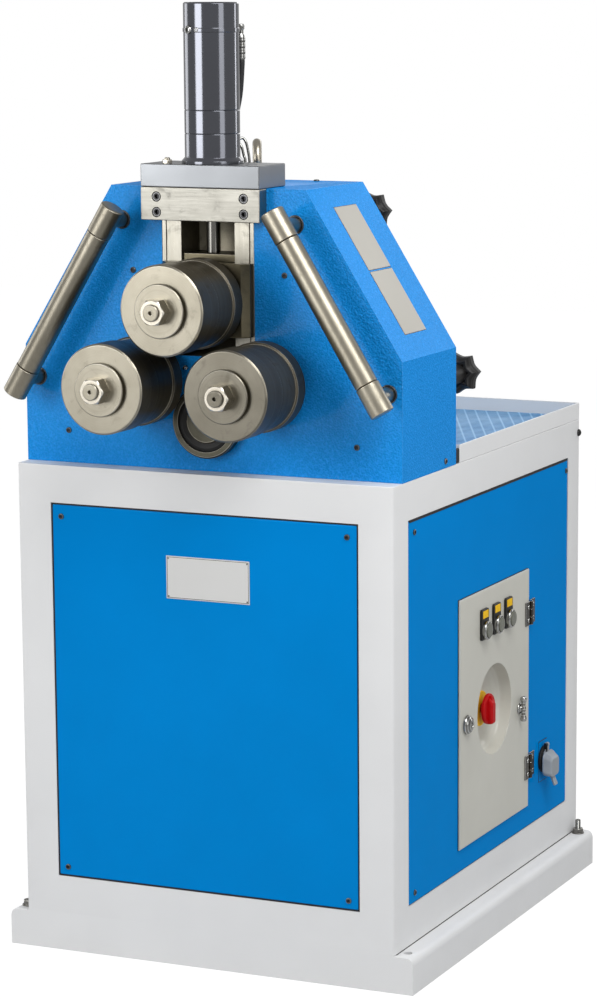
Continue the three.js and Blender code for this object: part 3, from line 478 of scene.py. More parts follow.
def torus(radius: float, wire: float, origin: Vec, axis: Way) -> Shell:
    """A ring of round wire: a circle of the wire's radius, turned round an axis at the radius.

    Args:
        radius: radius of the ring's middle line.
        wire: radius of the wire.
        origin: middle of the ring.
        axis: the ring goes round it.

    Returns:
        The surface.
    """
    angle = np.linspace(0, 2 * np.pi, SMALL_ROUND, endpoint=False)
    along = wire * np.sin(angle)
    radii = np.repeat((radius + wire * np.cos(angle))[:, None], ROUND, axis=1)
    return stacked(along, radii, origin, axis, looped=True)


def socket_screw(radius: float, height: float, origin: Vec, axis: Way, domed: bool = True) -> Shell:
    """A screw head with a hexagon socket: rows up the side, over the rim and into the socket.

    Args:
        radius: radius of the head.
        height: height of the head.
        origin: middle of its foot.
        axis: the direction that it looks in.
        domed: whether the head is rounded, and not a flat cylinder.

    Returns:
        The surface.
    """
    hexagon = polygon_radius(6, radius * 0.52, SMALL_ROUND)
    side = [0.0, 0.0, 0.55, 0.86, 1.0] if domed else [0.0, 0.0, 0.9, 1.0, 1.0]
    wide = [0.96, 1.0, 0.97, 0.84, 0.62] if domed else [0.99, 1.0, 1.0, 0.93, 0.66]
    along = np.array([*side, 1.0, 0.97, 0.35]) * height
    round_rows = radius * np.repeat(np.array(wide)[:, None], SMALL_ROUND, axis=1)
    socket_rows = np.stack([hexagon * 1.06, hexagon, hexagon * 0.98])
    edge = np.array([0, 0, 0.3, 0.8, 0, 0, 0.5, 0])
    return stacked(along, np.concatenate([round_rows, socket_rows]), origin, axis, edge)


# Node trees


class Tree:
    """A node tree under work, with short ways to add and link nodes."""

    def __init__(self, tree: bpy.types.NodeTree) -> None:
        """Starts on a tree with no nodes."""
        self.tree = tree
        tree.nodes.clear()

    def node(self, kind: str, inputs: dict[str, object] | None = None, **settings: object) -> Node:
        """Adds a node.

        Args:
            kind: Blender's name of the node's type, without ShaderNode.
            inputs: input names with a value or a socket each.
            settings: properties of the node.

        Returns:
            The node.
        """
        made = self.tree.nodes.new(kind if kind.startswith("Node") else "ShaderNode" + kind)
        for name, value in settings.items():
            setattr(made, name, value)
        for name, value in (inputs or {}).items():
            socket = made.inputs[int(name)] if name.isdigit() else made.inputs[name]
            if isinstance(value, Socket):
                self.tree.links.new(value, socket)
            else:
                socket.default_value = value
        return made

    def maths(self, operation: str, *values: object) -> Socket:
        """The result of a Math node on numbers or sockets."""
        inputs = {str(i): value for i, value in enumerate(values)}
        return self.node("Math", inputs, operation=operation).outputs[0]

    def between(self, mask: Socket, low: float, high: float) -> Socket:
        """A mask from 0 to 1, carried over to run from the low value to the high one."""
        made = self.node("MapRange", {"Value": mask, "To Min": low, "To Max": high})
        return made.outputs["Result"]

    def spread(self, mask: Socket, low: float, high: float) -> Socket:
        """A mask stretched so that the low value becomes 0 and the high one 1."""
        made = self.node("MapRange", {"Value": mask, "From Min": low, "From Max": high})
        return made.outputs["Result"]

    def noise(self, vector: Socket, scale: object, detail: float = 2.0, roughness: float = 0.5,
              distortion: float = 0.0) -> Socket:
        """The value of a Noise Texture node.

        Args:
            vector: the coordinates that it follows.
            scale: how fine it is, as a number or a socket.
            detail: how many finer layers it has.
            roughness: how strong those are.
            distortion: how much it is drawn about.

        Returns:
            Its value.
        """
        inputs = {"Vector": vector, "Scale": scale, "Detail": detail, "Roughness": roughness,
                  "Distortion": distortion}
        return self.node("TexNoise", inputs).outputs["Fac"]

    def mixed(self, mask: Socket, first: object, second: object) -> Socket:
        """A colour that goes from the first to the second as the mask goes from 0 to 1.

        Args:
            mask: where the second colour shows.
            first: a colour or a socket.
            second: a colour or a socket.

        Returns:
            The colour.
        """
        made = self.node("Mix", data_type="RGBA")
        sockets = {"0": mask, "6": first, "7": second}
        for name, value in sockets.items():
            if isinstance(value, Socket):
                self.tree.links.new(value, made.inputs[int(name)])
            else:
                made.inputs[int(name)].default_value = value
        return made.outputs[2]

    def moved(self, vector: Socket, location: Vec = (0, 0, 0), scale: Vec = (1, 1, 1),
              turn: Vec = (0, 0, 0)) -> Socket:
        """Coordinates moved, turned and scaled by a Mapping node."""
        inputs = {"Vector": vector, "Location": location, "Rotation": turn, "Scale": scale}
        return self.node("Mapping", inputs).outputs[0]


def rgba(colour: Colour, share: float = 1.0, lift: float = 0.0) -> tuple[float, ...]:
    """A colour with full cover, scaled where that is asked for."""
    return (*scaled(colour, share, lift), 1.0)


def scaled(colour: Colour, share: float, lift: float = 0.0) -> Colour:
    """A colour times a share, plus a lift, with no channel over 1."""
    return tuple(min(1.0, channel * share + lift) for channel in colour)


@dataclass(frozen=True)
class Port:
    """A named socket of a shared effect."""

    name: str
    kind: str
    value: object = None


class Effect(Enum):
    """The effects that several finishes share, each as one node group."""

    DRIFT = "slow drift"
    GRAIN = "fine grain"
    DIMPLES = "hammered dimples"
    STREAKS = "grinding streaks"
    RINGS = "turning rings"
    SCUFFS = "scuffs"


class Effects:
    """Builds each shared effect once and puts it into materials."""

    def __init__(self) -> None:
        """Starts with no effect built."""
        self.groups: dict[Effect, bpy.types.NodeTree] = {}

    def new_group(self, effect: Effect, takes: Sequence[Port],
                  gives: Sequence[Port]) -> tuple[Tree, dict, dict]:
        """Makes an empty group with named sockets.

        Args:
            effect: the effect that the group stands for.
            takes: inputs of the group.
            gives: outputs of the group.

        Returns:
            The group's tree, its inputs by name, and the sockets that its outputs are linked to.
        """
        group = bpy.data.node_groups.new(effect.value, "ShaderNodeTree")
        for side, ports in (("INPUT", takes), ("OUTPUT", gives)):
            for port in ports:
                socket = group.interface.new_socket(port.name, in_out=side, socket_type="NodeSocket"
                                                    + port.kind)
                if port.value is not None:
                    socket.default_value = port.value
        tree = Tree(group)
        source = tree.node("NodeGroupInput")
        target = tree.node("NodeGroupOutput")
        self.groups[effect] = group
        return tree, {p.name: source.outputs[p.name] for p in takes}, {p.name: target.inputs[p.name]
                                                                       for p in gives}

    def build(self, effect: Effect) -> None:
        """Builds one effect's group from its vector and scale.

        Args:
            effect: which effect.
        """
        takes = [Port("Vector", "Vector"), Port("Scale", "Float", 10.0)]
        tree, given, wanted = self.new_group(effect, takes, [Port("Mask", "Float")])
        vector, scale = given["Vector"], given["Scale"]
        if effect is Effect.DRIFT:
            mask = tree.spread(tree.noise(vector, scale, 3.0, 0.6), 0.3, 0.7)
        elif effect is Effect.GRAIN:
            mask = tree.noise(vector, scale, 2.0, 0.55)
        elif effect is Effect.DIMPLES:
            cells = tree.node("TexVoronoi", {"Vector": vector, "Scale": scale, "Smoothness": 0.6},
                              feature="SMOOTH_F1")
            noise = tree.noise(vector, tree.maths("MULTIPLY", scale, 0.6))
            mask = tree.maths("MULTIPLY", cells.outputs["Distance"], tree.between(noise, 0.5, 1.5))
        elif effect is Effect.STREAKS:
            mask = tree.spread(tree.noise(vector, scale, 4.0, 0.7), 0.25, 0.75)
        elif effect is Effect.RINGS:
            apart = tree.node("SeparateXYZ", {"Vector": vector})
            squares = [tree.maths("MULTIPLY", apart.outputs[i], apart.outputs[i]) for i in (0, 2)]
            radius = tree.maths("SQRT", tree.maths("ADD", *squares))
            along = tree.maths("MULTIPLY", apart.outputs[1], 0.35)
            line = tree.node("CombineXYZ", {"X": radius, "Y": along})
            mask = tree.spread(tree.noise(line.outputs[0], scale, 5.0, 0.75), 0.3, 0.7)
        else:
            mask = tree.spread(tree.noise(vector, scale, 6.0, 0.72, 0.6), 0.56, 0.68)
        tree.tree.links.new(mask, wanted["Mask"])

    def use(self, tree: Tree, effect: Effect, vector: Socket, scale: float) -> Socket:
        """Places an effect in a material.

        Args:
            tree: the material's nodes.
            effect: which effect.
            vector: the coordinates that it follows.
            scale: how fine it is.

        Returns:
            Its mask.
        """
        if effect not in self.groups:
            self.build(effect)
        made = tree.node("Group", node_tree=self.groups[effect])
        tree.tree.links.new(vector, made.inputs["Vector"])
        made.inputs["Scale"].default_value = scale
        return made.outputs["Mask"]


EFFECTS = Effects()


class Finish:
    """A finish that can make its own material. Each kind of finish fills in the dress method."""

    name: str
    slot: str

    def material(self) -> bpy.types.Material:
        """The finish's material, made the first time that it is asked for.

        Returns:
            The material.
        """
        name = "finish_" + self.name
        known = bpy.data.materials.get(name)
        if known:
            return known
        made = bpy.data.materials.new(name)
        made.use_nodes = True
        tree = Tree(made.node_tree)
        shader = tree.node("BsdfPrincipled")
        out = tree.node("OutputMaterial", {"Surface": shader.outputs[0]})
        out.is_active_output = True
        self.dress(tree, shader, tree.node("TexCoord").outputs["Object"])
        return made

    def dress(self, tree: Tree, shader: Node, place: Socket) -> None:
        """Sets the shader's values and links the finish's patterns to it.

        Args:
            tree: the material's nodes.
            shader: its Principled BSDF.
            place: the Object coordinates.
        """
        raise NotImplementedError

    @staticmethod
    def relief(tree: Tree, shader: Node, height: Socket, strength: float, distance: float) -> None:
        """Feeds a height through a Bump node to the shader's normal."""
        inputs = {"Height": height, "Strength": strength, "Distance": distance}
        tree.tree.links.new(tree.node("Bump", inputs).outputs[0], shader.inputs["Normal"])

    @staticmethod
    def feed(tree: Tree, shader: Node, **sources: Socket) -> None:
        """Links sources to the shader's sockets, whose names are spelled with underscores."""
        for name, source in sources.items():
            tree.tree.links.new(source, shader.inputs[name.replace("_", " ")])

    @staticmethod
    def fix(shader: Node, values: dict[str, float]) -> None:
        """Sets the shader's values that are the same all over the surface."""
        for name, value in values.items():
            shader.inputs[name].default_value = value


@dataclass(frozen=True)
class Paint(Finish):
    """Stoved paint or powder coat, smooth or hammered."""

    name: str
    slot: str
    colour: Colour
    shade: float = 0.9
    roughness: float = 0.4
    spread: float = 0.08
    coat: float = 0.0
    dimples: float = 0.0
    dimple_scale: float = 360.0
    peel: float = 0.06
    specular: float = 0.5
    metallic: float = 0.0
    drift_scale: float = 5.5
    grain_scale: float = 900.0
    grain_spread: float = 0.03
    peel_scale: float = 260.0
    peel_depth: float = 0.0006
    dimple_depth: float = 0.001
    dimple_pale: Pair = (1.25, 0.02)
    coat_roughness: float = 0.12

    def dress(self, tree: Tree, shader: Node, place: Socket) -> None:
        """A colour that drifts a little, with dimples or orange peel.

        Args:
            tree: the material's nodes.
            shader: its Principled BSDF.
            place: the Object coordinates.
        """
        drift = EFFECTS.use(tree, Effect.DRIFT, place, self.drift_scale)
        colour = tree.mixed(drift, rgba(self.colour), rgba(self.colour, self.shade))
        grain = EFFECTS.use(tree, Effect.GRAIN, place, self.grain_scale)
        if self.dimples:
            cells = EFFECTS.use(tree, Effect.DIMPLES, place, self.dimple_scale)
            # The dimple cells lighten the blue: hammer-tone variation, and painted sparkle where the dimples
            # would catch the light.
            colour = tree.mixed(cells, colour, rgba(self.colour, *self.dimple_pale))
            self.relief(tree, shader, cells, self.dimples, self.dimple_depth)
        else:
            peel = EFFECTS.use(tree, Effect.GRAIN, place, self.peel_scale)
            self.relief(tree, shader, peel, self.peel, self.peel_depth)
        rough = tree.maths("ADD", tree.between(drift, self.roughness, self.roughness + self.spread),
                           tree.between(grain, -self.grain_spread, self.grain_spread))
        self.feed(tree, shader, Base_Color=colour, Roughness=rough)
        self.fix(shader, {"Coat Weight": self.coat, "Coat Roughness": self.coat_roughness,
                          "Specular IOR Level": self.specular, "Metallic": self.metallic})


class Lay(Enum):
    """How a steel surface was worked."""

    PLAIN = "plain"
    GROUND = "ground"
    TURNED = "turned"


@dataclass(frozen=True)
class Steel(Finish):
    """Bare, browned or polished steel with the marks of its machining."""

    name: str
    slot: str
    colour: Colour
    shade: Colour
    lay: Lay = Lay.PLAIN
    roughness: float = 0.32
    spread: float = 0.14
    stretch: Vec = (1.0, 1.0, 1.0)
    turn: Vec = (0.0, 0.0, 0.0)
    centre: Vec = (0.0, 0.0, 0.0)
    pitch: float = 420.0
    marks: float = 0.12
    mark_depth: float = 0.00025
    # Colour of the bright edges: partly wear, partly a painted glint.
    worn_edge: Colour = (0.62, 0.58, 0.5)
    wear: Pair = (0.9, 0.45)
    metallic: float = 1.0
    scuffs: float = 0.25
    scuff_scale: float = 34.0
    scuff_shade: float = 0.55
    scuff_roughness: float = 0.12
    drift_scale: float = 14.0
    drift_share: float = 0.6

    def dress(self, tree: Tree, shader: Node, place: Socket) -> None:
        """Machining marks in colour, roughness and relief, dark scuffs, and bright edges that are partly wear
        and partly a painted glint.

        Args:
            tree: the material's nodes.
            shader: its Principled BSDF.
            place: the Object coordinates.
        """
        if self.lay is Lay.TURNED:
            centred = tree.moved(place, location=tuple(-c for c in self.centre))
            marks = EFFECTS.use(tree, Effect.RINGS, centred, self.pitch)
        else:
            laid = tree.moved(place, scale=self.stretch, turn=self.turn)
            marks = EFFECTS.use(tree, Effect.STREAKS, laid, self.pitch)
        drift = EFFECTS.use(tree, Effect.DRIFT, place, self.drift_scale)
        scuff = EFFECTS.use(tree, Effect.SCUFFS, place, self.scuff_scale)
        blend = tree.maths("ADD", tree.maths("MULTIPLY", drift, self.drift_share),
                           tree.maths("MULTIPLY", marks, 1.0 - self.drift_share))
        colour = tree.mixed(blend, rgba(self.colour), rgba(self.shade))
        scuffed = tree.maths("MULTIPLY", scuff, self.scuffs)
        colour = tree.mixed(scuffed, colour, rgba(self.shade, self.scuff_shade))
        # Roundings and chamfers turn toward the bright edge colour: partly wear, partly a painted glint where
        # they would catch the light.
        edge = tree.node("Attribute", attribute_name="edge").outputs["Fac"]
        bright = tree.maths("MULTIPLY", edge, tree.between(drift, *self.wear))
        half = self.spread / 2
        rough = tree.maths("ADD", tree.between(marks, self.roughness - half, self.roughness + half),
                           tree.maths("MULTIPLY", scuff, self.scuff_roughness))
        self.feed(tree, shader, Roughness=rough, Base_Color=tree.mixed(bright, colour, rgba(self.worn_edge)))
        self.relief(tree, shader, marks, self.marks, self.mark_depth)
        self.fix(shader, {"Metallic": self.metallic})


@dataclass(frozen=True)
class Plastic(Finish):
    """Moulded plastic or rubber with a fine skin."""

    name: str
    slot: str
    colour: Colour
    shade: float = 0.82
    roughness: float = 0.42
    spread: float = 0.1
    skin: float = 0.12
    skin_scale: float = 1300.0
    skin_depth: float = 0.0003
    coat: float = 0.0
    lift: float = 1.5
    edge_pale: float = 0.012
    edge_share: float = 0.6
    specular: float = 0.5
    drift_scale: float = 40.0

    def dress(self, tree: Tree, shader: Node, place: Socket) -> None:
        """A slightly uneven colour, paler along its edges, with a fine moulded skin.

        Args:
            tree: the material's nodes.
            shader: its Principled BSDF.
            place: the Object coordinates.
        """
        drift = EFFECTS.use(tree, Effect.DRIFT, place, self.drift_scale)
        skin = EFFECTS.use(tree, Effect.GRAIN, place, self.skin_scale)
        colour = tree.mixed(drift, rgba(self.colour), rgba(self.colour, self.shade))
        edge = tree.node("Attribute", attribute_name="edge").outputs["Fac"]
        pale = rgba(self.colour, self.lift, self.edge_pale)
        self.feed(tree, shader,
                  Base_Color=tree.mixed(tree.maths("MULTIPLY", edge, self.edge_share), colour, pale),
                  Roughness=tree.between(drift, self.roughness, self.roughness + self.spread))
        self.relief(tree, shader, skin, self.skin, self.skin_depth)
        self.fix(shader, {"Coat Weight": self.coat, "Specular IOR Level": self.specular})


@dataclass(frozen=True)
class RibbedMat(Finish):
    """Ribbed rubber mat: low ribs that run along x, crossed by slanting pale creases."""

    name: str
    slot: str
    colour: Colour
    groove: Colour
    crease: Colour
    rib: float = 0.0135
    rib_span: Pair = (0.3, 0.75)
    rib_depth: float = 0.0012
    rib_strength: float = 0.6
    crease_step: float = 0.02
    crease_span: Pair = (0.88, 1.0)
    crease_share: float = 0.75
    slant: float = 1.13
    drift_scale: float = 20.0
    drift_share: float = 0.35
    roughness: Pair = (0.7, 0.45)

    def wave(self, tree: Tree, place: Socket, step: float) -> Socket:
        """Bands across y from 0 to 1, one for each step."""
        inputs = {"Vector": place, "Scale": math.pi / 10 / step, "Distortion": 0.0}
        return tree.node("TexWave", inputs, wave_type="BANDS", bands_direction="Y").outputs["Fac"]

    def dress(self, tree: Tree, shader: Node, place: Socket) -> None:
        """Dark grooves between the ribs, pale creases over them, and their relief.

        Args:
            tree: the material's nodes.
            shader: its Principled BSDF.
            place: the Object coordinates.
        """
        slanted = tree.moved(place, turn=(0.0, 0.0, self.slant))
        crease = self.wave(tree, slanted, self.crease_step * math.sin(self.slant))
        groove = tree.spread(self.wave(tree, place, self.rib), *self.rib_span)
        pale = tree.between(tree.spread(crease, *self.crease_span), 0.0, self.crease_share)
        drift = EFFECTS.use(tree, Effect.DRIFT, place, self.drift_scale)
        base = tree.mixed(groove, rgba(self.groove), rgba(self.colour))
        base = tree.mixed(tree.between(drift, 0.0, self.drift_share), base, rgba(self.crease))
        self.feed(tree, shader, Base_Color=tree.mixed(pale, base, rgba(self.crease)),
                  Roughness=tree.between(groove, *self.roughness))
        self.relief(tree, shader, groove, self.rib_strength, self.rib_depth)


@dataclass(frozen=True)
class PaleFloor(Finish):
    """Studio floor: shows pale to the camera, and keeps the object's shadow."""

    name: str = "studio_floor"
    tones: Pair = (0.5, 0.48)
    drift_scale: float = 0.8
    roughness: float = 0.9
    glow: float = 1.2
    camera_share: float = 0.8
    mirror_share: float = 0.15

    def dress(self, tree: Tree, shader: Node, place: Socket) -> None:
        """A matt pale floor, mixed with white where the camera or a reflection looks at it.

        Args:
            tree: the material's nodes.
            shader: its Principled BSDF.
            place: the Object coordinates.
        """
        drift = EFFECTS.use(tree, Effect.DRIFT, place, self.drift_scale)
        plain, worn = (rgba((tone, tone, tone)) for tone in self.tones)
        self.feed(tree, shader, Base_Color=tree.mixed(drift, plain, worn))
        self.fix(shader, {"Roughness": self.roughness})
        white = tree.node("Emission", {"Color": rgba(WHITE), "Strength": self.glow})
        path = tree.node("LightPath")
        mirrored = tree.maths("MULTIPLY", path.outputs["Is Glossy Ray"], self.mirror_share)
        seen = tree.maths("MULTIPLY", path.outputs["Is Camera Ray"], self.camera_share)
        share = tree.maths("ADD", seen, mirrored)
        both = tree.node("MixShader", {"0": share, "1": shader.outputs[0], "2": white.outputs[0]})
        out = next(node for node in tree.tree.nodes if node.type == "OUTPUT_MATERIAL")
        tree.tree.links.new(both.outputs[0], out.inputs["Surface"])


class Finishes:
    """Every finish of the machine."""

    BLUE = Paint("blue_enamel", "blue_paint", (0.0, 0.22, 0.62), shade=0.94, roughness=0.34, peel=0.03,
                 coat=0.06, specular=0.0)
    BLUE_HAMMERED = Paint("blue_hammered", "blue_paint", (0.0, 0.22, 0.62), shade=0.86, roughness=0.3,
                          dimples=0.9, coat=0.2, specular=0.0)
    # For the head's rounded edges: a lighter, glossier blue, which is a painted highlight along them.
    BLUE_RUBBED = Paint("blue_rubbed", "blue_paint", (0.05, 0.3, 0.66), shade=0.9, roughness=0.22, peel=0.2,
                        coat=0.5)
    LIGHT = Paint("light_powder", "light_paint", (0.745, 0.75, 0.755), shade=0.955, roughness=0.42,
                  specular=0.3)
    DOOR = Paint("door_grey", "door_paint", (0.55, 0.545, 0.49), shade=0.93, roughness=0.42, specular=0.3,
                 coat=0.3)
    BARREL = Paint("barrel_enamel", "cylinder_paint", (0.12, 0.125, 0.145), shade=0.88, roughness=0.1,
                   spread=0.03, coat=0.5, metallic=0.9, peel=0.0)
    BLOCK = Paint("block_enamel", "cylinder_paint", (0.235, 0.245, 0.257), shade=0.85, roughness=0.34,
                  metallic=0.9, peel=0.02)
    MAT = RibbedMat("mat_rubber", "mat_rubber", (0.11, 0.38, 0.72), (0.02, 0.12, 0.33), (0.36, 0.62, 0.86))
    GROUND = Steel("ground_steel", "ground_steel", (0.3, 0.292, 0.262), (0.22, 0.213, 0.187), Lay.GROUND,
                   stretch=(0.05, 1.0, 1.0), roughness=0.36)
    RAIL = Steel("rail_steel", "ground_steel", (0.36, 0.345, 0.3), (0.27, 0.255, 0.215), Lay.GROUND,
                 stretch=(1.0, 1.0, 0.05), scuffs=0.4)
    OILED = Steel("oiled_steel", "roll_steel", (0.135, 0.118, 0.076), (0.088, 0.077, 0.052), Lay.GROUND,
                  stretch=(0.1, 1.0, 1.0), roughness=0.36, worn_edge=(0.5, 0.47, 0.4))
    SLOT = Steel("slot_steel", "dark_steel", (0.34, 0.31, 0.24), (0.22, 0.2, 0.15), Lay.GROUND, roughness=0.5,
                 worn_edge=(0.2, 0.18, 0.14))
    SEAM = Plastic("seam_brown", "dark_steel", (0.05, 0.032, 0.016), roughness=0.7)
    NUT = Steel("nut_steel", "chrome", (0.5, 0.46, 0.38), (0.36, 0.33, 0.27), roughness=0.3,
                worn_edge=(0.8, 0.77, 0.7))
    # Chrome is kept dark and mottled with a darker colour, which paints dark reflections; its near-white
    # edges paint glints.
    CHROME = Steel("chrome", "chrome", (0.34, 0.34, 0.325), (0.14, 0.14, 0.132), roughness=0.12, spread=0.06,
                   marks=0.02, worn_edge=(0.86, 0.86, 0.85), scuffs=0.08)
    # Near-black hinge steel with near-white edges: painted dark reflections and painted glints.
    HINGE = Steel("hinge_steel", "chrome", (0.07, 0.064, 0.052), (0.03, 0.028, 0.024), roughness=0.16,
                  spread=0.08, marks=0.03, worn_edge=(0.85, 0.85, 0.83), scuffs=0.15)
    ROD = Steel("rod_steel", "chrome", (0.3, 0.29, 0.265), (0.2, 0.195, 0.18), roughness=0.14, spread=0.06,
                marks=0.02)
    CAP = Steel("cap_steel", "roll_steel", (0.1, 0.095, 0.072), (0.055, 0.052, 0.04), Lay.TURNED,
                roughness=0.36, pitch=700.0, centre=(0.0, 0.0, 846.5 * MM), worn_edge=(0.6, 0.57, 0.5))
    ZINC = Steel("anchor_zinc", "chrome", (0.24, 0.235, 0.22), (0.16, 0.155, 0.145), roughness=0.36,
                 worn_edge=(0.55, 0.54, 0.5))
    BLACKENED = Steel("blackened_steel", "dark_steel", (0.03, 0.03, 0.032), (0.018, 0.018, 0.02),
                      roughness=0.3, worn_edge=(0.34, 0.34, 0.34), scuffs=0.1, metallic=0.8)
    PLATE = Paint("bare_plate", "light_paint", (0.66, 0.66, 0.65), shade=0.95, roughness=0.26, peel=0.02,
                  metallic=0.25)
    SLOPE_PLATE = Paint("slope_plate", "light_paint", (0.4, 0.385, 0.345), shade=0.95, roughness=0.4,
                        peel=0.02)
    BLACK = Plastic("black_plastic", "black_plastic", (0.01, 0.0098, 0.0095), roughness=0.38, lift=3.0,
                    specular=0.25)
    GASKET = Plastic("gasket_rubber", "black_plastic", (0.006, 0.006, 0.007), roughness=0.7)
    HOSE = Plastic("hose_rubber", "hose_rubber", (0.014, 0.014, 0.015), roughness=0.5, skin=0.3,
                   skin_scale=700.0)
    RED = Plastic("red_plastic", "red_plastic", (0.46, 0.002, 0.004), roughness=0.34, coat=0.05, lift=1.1,
                  specular=0.08)
    YELLOW = Plastic("yellow_plastic", "red_plastic", (0.92, 0.55, 0.002), roughness=0.4, lift=1.1,
                     specular=0.15)
    LENS = Plastic("lens_plastic", "lens_plastic", (0.11, 0.115, 0.085), roughness=0.2, coat=0.3, lift=1.1)
    SOCKET = Plastic("socket_plastic", "socket_plastic", (0.29, 0.32, 0.35), roughness=0.42, lift=1.2)
    CASTING = Paint("casting_grey", "dark_steel", (0.1, 0.11, 0.12), roughness=0.5)


def roll_face(name: str, x: float, z: float, tone: float = 1.0) -> Steel:
    """The turned finish of a roll's face, with its rings centred on the roll.

    Args:
        name: name of the finish.
        x: the roll's middle, across.
        z: the roll's middle, upwards.
        tone: how bright the steel is; a lower tone paints shade on that roll.

    Returns:
        The finish.
    """
    return Steel(name, "roll_steel", scaled((0.46, 0.425, 0.345), tone), scaled((0.3, 0.275, 0.215), tone),
                 Lay.TURNED, roughness=0.32, centre=(x * MM, 0.0, z * MM), pitch=900.0, marks=0.2,
                 worn_edge=scaled((0.75, 0.72, 0.64), tone), scuffs=0.35)


# Pieces


@dataclass
class Piece:
    """One visible piece.

    Attributes:
        name: name of the object.
        shell: its surface.
        finish: its finish.
        stands_for: CAD nodes that it replaces.
        body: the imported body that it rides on.
        slot: the record's material slot, where it isn't the finish's own.
    """

    name: str
    shell: Shell
    finish: Finish
    stands_for: Sequence[str] = ()
    body: Body | str = Body.MACHINE
    slot: str = ""

    def make(self) -> bpy.types.Object:
        """Puts the surface into a mesh object, dresses it, sets it on its body and hides the nodes that it
        replaces.

        Returns:
            The object.
        """
        mesh = bpy.data.meshes.new(self.name)
        mesh.from_pydata((self.shell.points * MM).tolist(), [], self.shell.faces)
        edge = mesh.attributes.new("edge", "FLOAT", "POINT")
        edge.data.foreach_set("value", self.shell.edge.astype(np.float32))
        made = bpy.data.objects.new(self.name, mesh)
        bpy.context.scene.collection.objects.link(made)
        shade(made)
        weighted = made.modifiers.new("even_normals", "WEIGHTED_NORMAL")
        weighted.keep_sharp = True
        settle(made, self.finish, self.stands_for, self.body, self.slot)
        return made


def shade(made: bpy.types.Object, angle: float = SHARP_ANGLE) -> None:
    """Smooth shading, broken where two faces meet at more than the angle.

    Args:
        made: the object.
        angle: the angle, in radians.
    """
    made.data.validate()
    made.data.polygons.foreach_set("use_smooth", np.ones(len(made.data.polygons), bool))
    made.data.set_sharp_from_angle(angle=angle)


def settle(made: bpy.types.Object, finish: Finish, stands_for: Sequence[str], body: Body | str,
           slot: str) -> None:
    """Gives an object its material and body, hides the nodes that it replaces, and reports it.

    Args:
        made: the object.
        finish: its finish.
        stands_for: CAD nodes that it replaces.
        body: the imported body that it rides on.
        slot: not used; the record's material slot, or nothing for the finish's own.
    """
    body = body.value if isinstance(body, Body) else body
    slot = slot or finish.slot
    made.data.materials.clear()
    made.data.materials.append(finish.material())
    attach(made, body)
    if stands_for:
        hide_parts(*stands_for)
    log.info("%s: %d faces, %s", made.name, len(made.data.polygons), finish.name)


def softened(node: str, finish: Finish, width: float, segments: int = 3,
             edge_highlight_finish: Finish | None = None, body: Body = Body.MACHINE, slot: str = "",
             limit: float = 35.0) -> bpy.types.Object:
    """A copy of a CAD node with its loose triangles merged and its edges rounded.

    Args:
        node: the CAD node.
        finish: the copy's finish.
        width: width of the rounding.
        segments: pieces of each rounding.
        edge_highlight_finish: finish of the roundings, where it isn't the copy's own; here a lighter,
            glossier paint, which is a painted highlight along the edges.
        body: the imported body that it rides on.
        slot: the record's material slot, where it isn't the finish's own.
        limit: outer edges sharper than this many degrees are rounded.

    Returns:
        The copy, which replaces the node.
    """
    mesh = bpy.data.meshes.new(node + "_dressed")
    work = bmesh.new()
    work.from_mesh(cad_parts[node].data)
    bmesh.ops.remove_doubles(work, verts=work.verts, dist=MERGE_DISTANCE)
    bmesh.ops.dissolve_limit(work, angle_limit=FLAT_ANGLE, verts=work.verts, edges=work.edges)
    weight = work.edges.layers.float.new("bevel_weight_edge")
    sharp = math.radians(limit)
    for edge in work.edges:
        edge[weight] = float(edge.is_manifold and edge.calc_face_angle_signed(0.0) > sharp)
    work.to_mesh(mesh)
    work.free()
    made = bpy.data.objects.new(node + "_dressed", mesh)
    bpy.context.scene.collection.objects.link(made)
    shade(made, sharp)
    bevel = made.modifiers.new("rounded_edges", "BEVEL")
    bevel.width = width * MM
    bevel.segments = segments
    bevel.limit_method = "WEIGHT"
    bevel.harden_normals = True
    settle(made, finish, [node], body, slot)
    if edge_highlight_finish:
        made.data.materials.append(edge_highlight_finish.material())
        bevel.material = 1
    return made


def repainted(made: bpy.types.Object, finish: Finish, low: Sequence[float], high: Sequence[float],
              facing_front: bool = False) -> None:
    """Gives another finish to the faces whose middle lies in a box.

    Args:
        made: the object.
        finish: the other finish.
        low: lowest corner of the box.
        high: highest corner of the box.
        facing_front: whether only faces that look towards -Y take the finish.
    """
    made.data.materials.append(finish.material())
    count = len(made.data.polygons)
    values = {name: np.zeros(count * 3, np.float32) for name in ("center", "normal")}
    for name, store in values.items():
        made.data.polygons.foreach_get(name, store)
    middle, normal = values["center"].reshape(-1, 3) / MM, values["normal"].reshape(-1, 3)
    chosen = ((middle > np.array(low)) & (middle < np.array(high))).all(axis=1)
    if facing_front:
        chosen &= normal[:, 1] < -0.6
    index = np.zeros(count, np.int32)
    made.data.polygons.foreach_get("material_index", index)
    made.data.polygons.foreach_set("material_index", np.where(chosen, len(made.data.materials) - 1, index))


def cad_corners(node: str) -> tuple[Array, Array]:
    """Lowest and highest corner of a CAD node, in millimetres."""
    low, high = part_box(node)
    return np.array(low) / MM, np.array(high) / MM


def block_for(node: str, radius: float) -> Shell:
    """A rounded block that fills a CAD node's box."""
    low, high = cad_corners(node)
    return rounded_block(low, high, radius)


# Sub-assemblies


